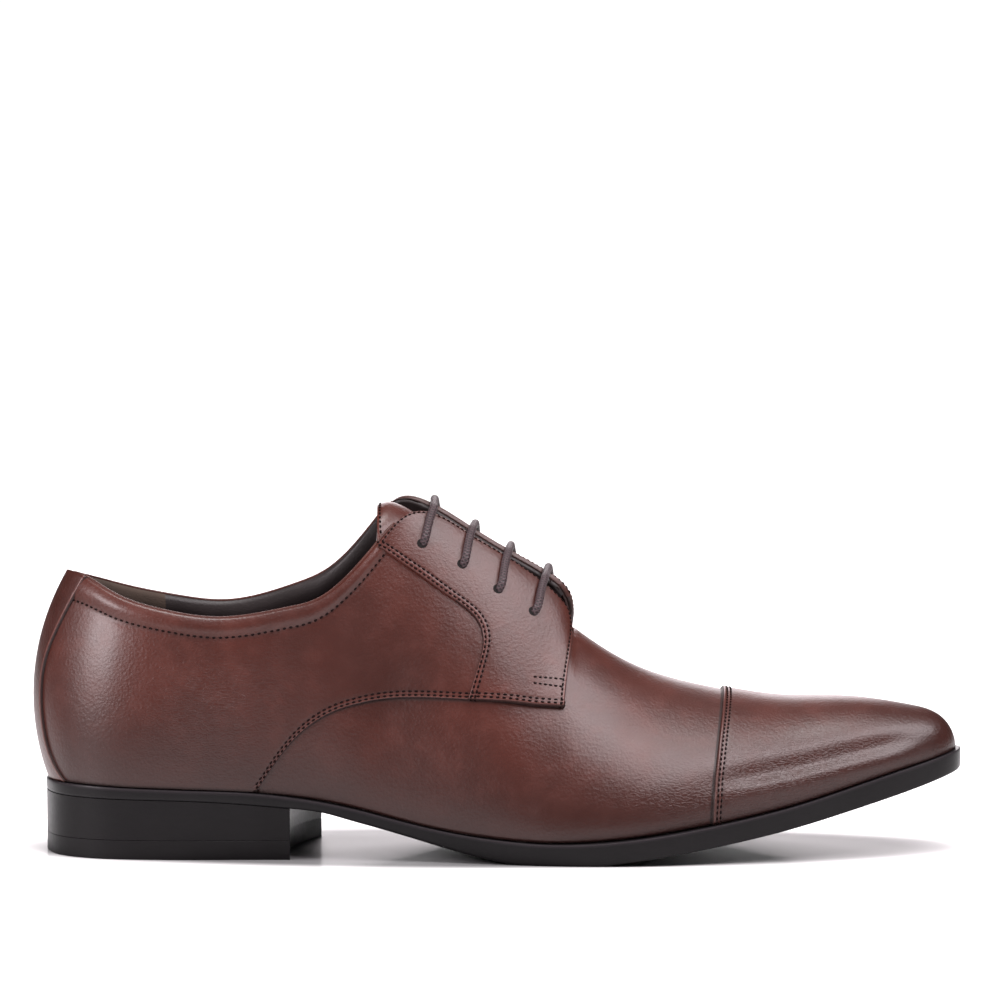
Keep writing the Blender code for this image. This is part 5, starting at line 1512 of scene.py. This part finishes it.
def eyelet_hole_shades():
    """Dark discs on the facings where the lace goes down: painted shade for the hollows of punched holes."""
    for number, place in enumerate(EYELETS, 1):
        s, t = LAST.locate(-1, place[0] * SHOE_LENGTH, place[1] * INSTEP_HEIGHT)
        for word, at in (("lateral", s), ("medial", -s + place[2] * SHOE_LENGTH)):
            centre = LAST.offset(at, t, FACING_TOP + 0.03 * MM)[0]
            normal = LAST.normal(at, t)[0]
            side = np.cross(normal, (0, 1.0, 0))
            side /= np.linalg.norm(side)
            up = np.cross(normal, side)
            angle = np.linspace(0, math.tau, EYELET_POINTS, endpoint=False)
            ring = [centre + EYELET_RADIUS * (math.cos(a) * side + math.sin(a) * up) for a in angle]
            below = [point - normal * EYELET_DEPTH for point in ring]
            upper = list(range(EYELET_POINTS))
            lower = [i + EYELET_POINTS for i in upper]
            faces = [upper, lower[::-1]]
            faces += [[upper[i - 1], lower[i - 1], lower[i], upper[i]] for i in upper[1:] + upper[:1]]
            finished(f"eyelet_{word}_{number}", ring + below, faces, hole_shade, [f"facing_{word}"],
                     smooth=False)


# Floor: half its side, and the scale that turns the outline of the sole on it into a circle of radius 1,
# for the painted shadow
FLOOR_REACH = 6.0
FOOTPRINT = (1 / 0.150, 1 / 0.050, 0.0)


def floor():
    """White floor with a painted shadow below the sole, and a little brighter far away, as on a light table.
    """
    corners = [(-1, -1), (1, -1), (1, 1), (-1, 1)]
    mesh = bpy.data.meshes.new("floor")
    mesh.from_pydata([(x * FLOOR_REACH, y * FLOOR_REACH, 0) for x, y in corners], [], [[0, 1, 2, 3]])
    finish = Finish("white_floor", coat_weight=0.30, coat_roughness=0.16)
    finish.shader.inputs["Emission Strength"].default_value = 0.25

    def length(vector):
        return finish.node("ShaderNodeVectorMath", {"operation": "LENGTH"}, {0: vector}, "Value")

    haze = finish.noise(3.0, 2.0)
    white = finish.mix(haze, (0.965, 0.965, 0.97), (0.98, 0.98, 0.98))
    # Painted shadow: near black inside the sole's outline, fading out just beyond it
    painted_contact_shadow = (1 - finish.between(length(finish.stretched(FOOTPRINT)), 0.90, 1.24)) * 0.92
    far = finish.between(length(finish.place()), 0.35, 1.1)
    colour = finish.mix(painted_contact_shadow, white, (0.05, 0.05, 0.052))
    glow = finish.mix(far, (0.0, 0.0, 0.0), (1.0, 1.0, 1.0))
    mesh.materials.append(finish.use(base_color=colour, roughness=0.5 + haze * 0.1, emission_color=glow))
    plane = bpy.data.objects.new("floor", mesh)
    bpy.context.scene.collection.objects.link(plane)


def light(name, kind, place, target, power, **settings):
    lamp = bpy.data.lights.new(name, kind)
    lamp.energy = power
    for key, value in settings.items():
        setattr(lamp, key, value)
    made = bpy.data.objects.new(name, lamp)
    bpy.context.scene.collection.objects.link(made)
    aim(made, place, target)


def aim(thing, place, target):
    thing.location = place
    thing.rotation_euler = (Vector(target) - Vector(place)).to_track_quat("-Z", "Y").to_euler()


# Soft boxes: name, azimuth from the camera's side, height angle, power in watts, width and height in metres
BOXES = (
    ("left_box", -60, 26, 40.0, 0.7, 0.5),
    ("front_box", 30, 58, 25.0, 0.8, 0.8),
    ("right_box", 75, 55, 38.0, 1.2, 0.8),
    ("low_right_box", 60, 8, 3.0, 0.8, 0.6),
    ("rear_box", 180, 20, 10.0, 0.8, 0.8),
)
BOX_DISTANCE = 2.0
BOX_TARGET = (0, 0, 0.05)
BOX_COLOUR = (1, 0.925, 0.955)


def studio():
    """White behind the shoe and dim elsewhere, a soft light overhead and boxes round the shoe."""
    bpy.context.scene.view_settings.view_transform = "Standard"
    world = bpy.data.worlds.new("studio")
    bpy.context.scene.world = world
    world.use_nodes = True
    tree = world.node_tree
    background = tree.nodes["Background"]
    place = tree.nodes.new("ShaderNodeTexCoord")
    parts = tree.nodes.new("ShaderNodeSeparateXYZ")
    tree.links.new(place.outputs["Generated"], parts.inputs[0])
    shares = []
    for axis, low, high in (("Y", 0.94, 0.97), ("Z", 0.16, 0.10)):
        part = tree.nodes.new("ShaderNodeMapRange")
        part.inputs["From Min"].default_value = low
        part.inputs["From Max"].default_value = high
        tree.links.new(parts.outputs[axis], part.inputs["Value"])
        shares.append(part.outputs["Result"])
    both = tree.nodes.new("ShaderNodeMath")
    both.operation = "MULTIPLY"
    tree.links.new(shares[0], both.inputs[0])
    tree.links.new(shares[1], both.inputs[1])
    ramp = tree.nodes.new("ShaderNodeValToRGB")
    tree.links.new(both.outputs[0], ramp.inputs[0])
    tree.links.new(ramp.outputs["Color"], background.inputs["Color"])
    ramp.color_ramp.elements[0].color = (0.06, 0.06, 0.06, 1)
    ramp.color_ramp.elements[1].color = (1, 1, 1, 1)
    background.inputs["Strength"].default_value = 1.05
    light("overhead", "SUN", (0, -0.05, 2), (0, 0, 0), 2.9, angle=math.radians(24))
    for name, azimuth, rise, power, width, height in BOXES:
        turn, rise = math.radians(azimuth), math.radians(rise)
        way = np.array([math.sin(turn) * math.cos(rise), -math.cos(turn) * math.cos(rise), math.sin(rise)])
        light(name, "AREA", tuple(way * BOX_DISTANCE), BOX_TARGET, power,
              shape="RECTANGLE", size=width, size_y=height, color=BOX_COLOUR)


# Camera: lens and film width in millimetres, what it looks at from the back of the sole, and from where
LENS = 159.55
FILM_WIDTH = 36
CAMERA_TARGET = (0.1538, 0, 0.118)
CAMERA_DISTANCE = 1.5
CAMERA_RISE = math.radians(3.0)


def camera():
    lens = bpy.data.cameras.new("camera")
    lens.sensor_width = FILM_WIDTH
    lens.lens = LENS
    lens.clip_start = 0.01
    made = bpy.data.objects.new("camera", lens)
    bpy.context.scene.collection.objects.link(made)
    target = np.array(CAMERA_TARGET) + SHIFT
    away = np.array([0, -math.cos(CAMERA_RISE), math.sin(CAMERA_RISE)])
    aim(made, tuple(target + CAMERA_DISTANCE * away), tuple(target))
    bpy.context.scene.camera = made


vamp()
quarters()
toe_cap()
facing("lateral", -1)
facing("medial", 1)
back_strip()
lining()
tongue()
lace()
eyelet_hole_shades()
outsole()
heel()
footbed()
stitches()
floor()
studio()
camera()
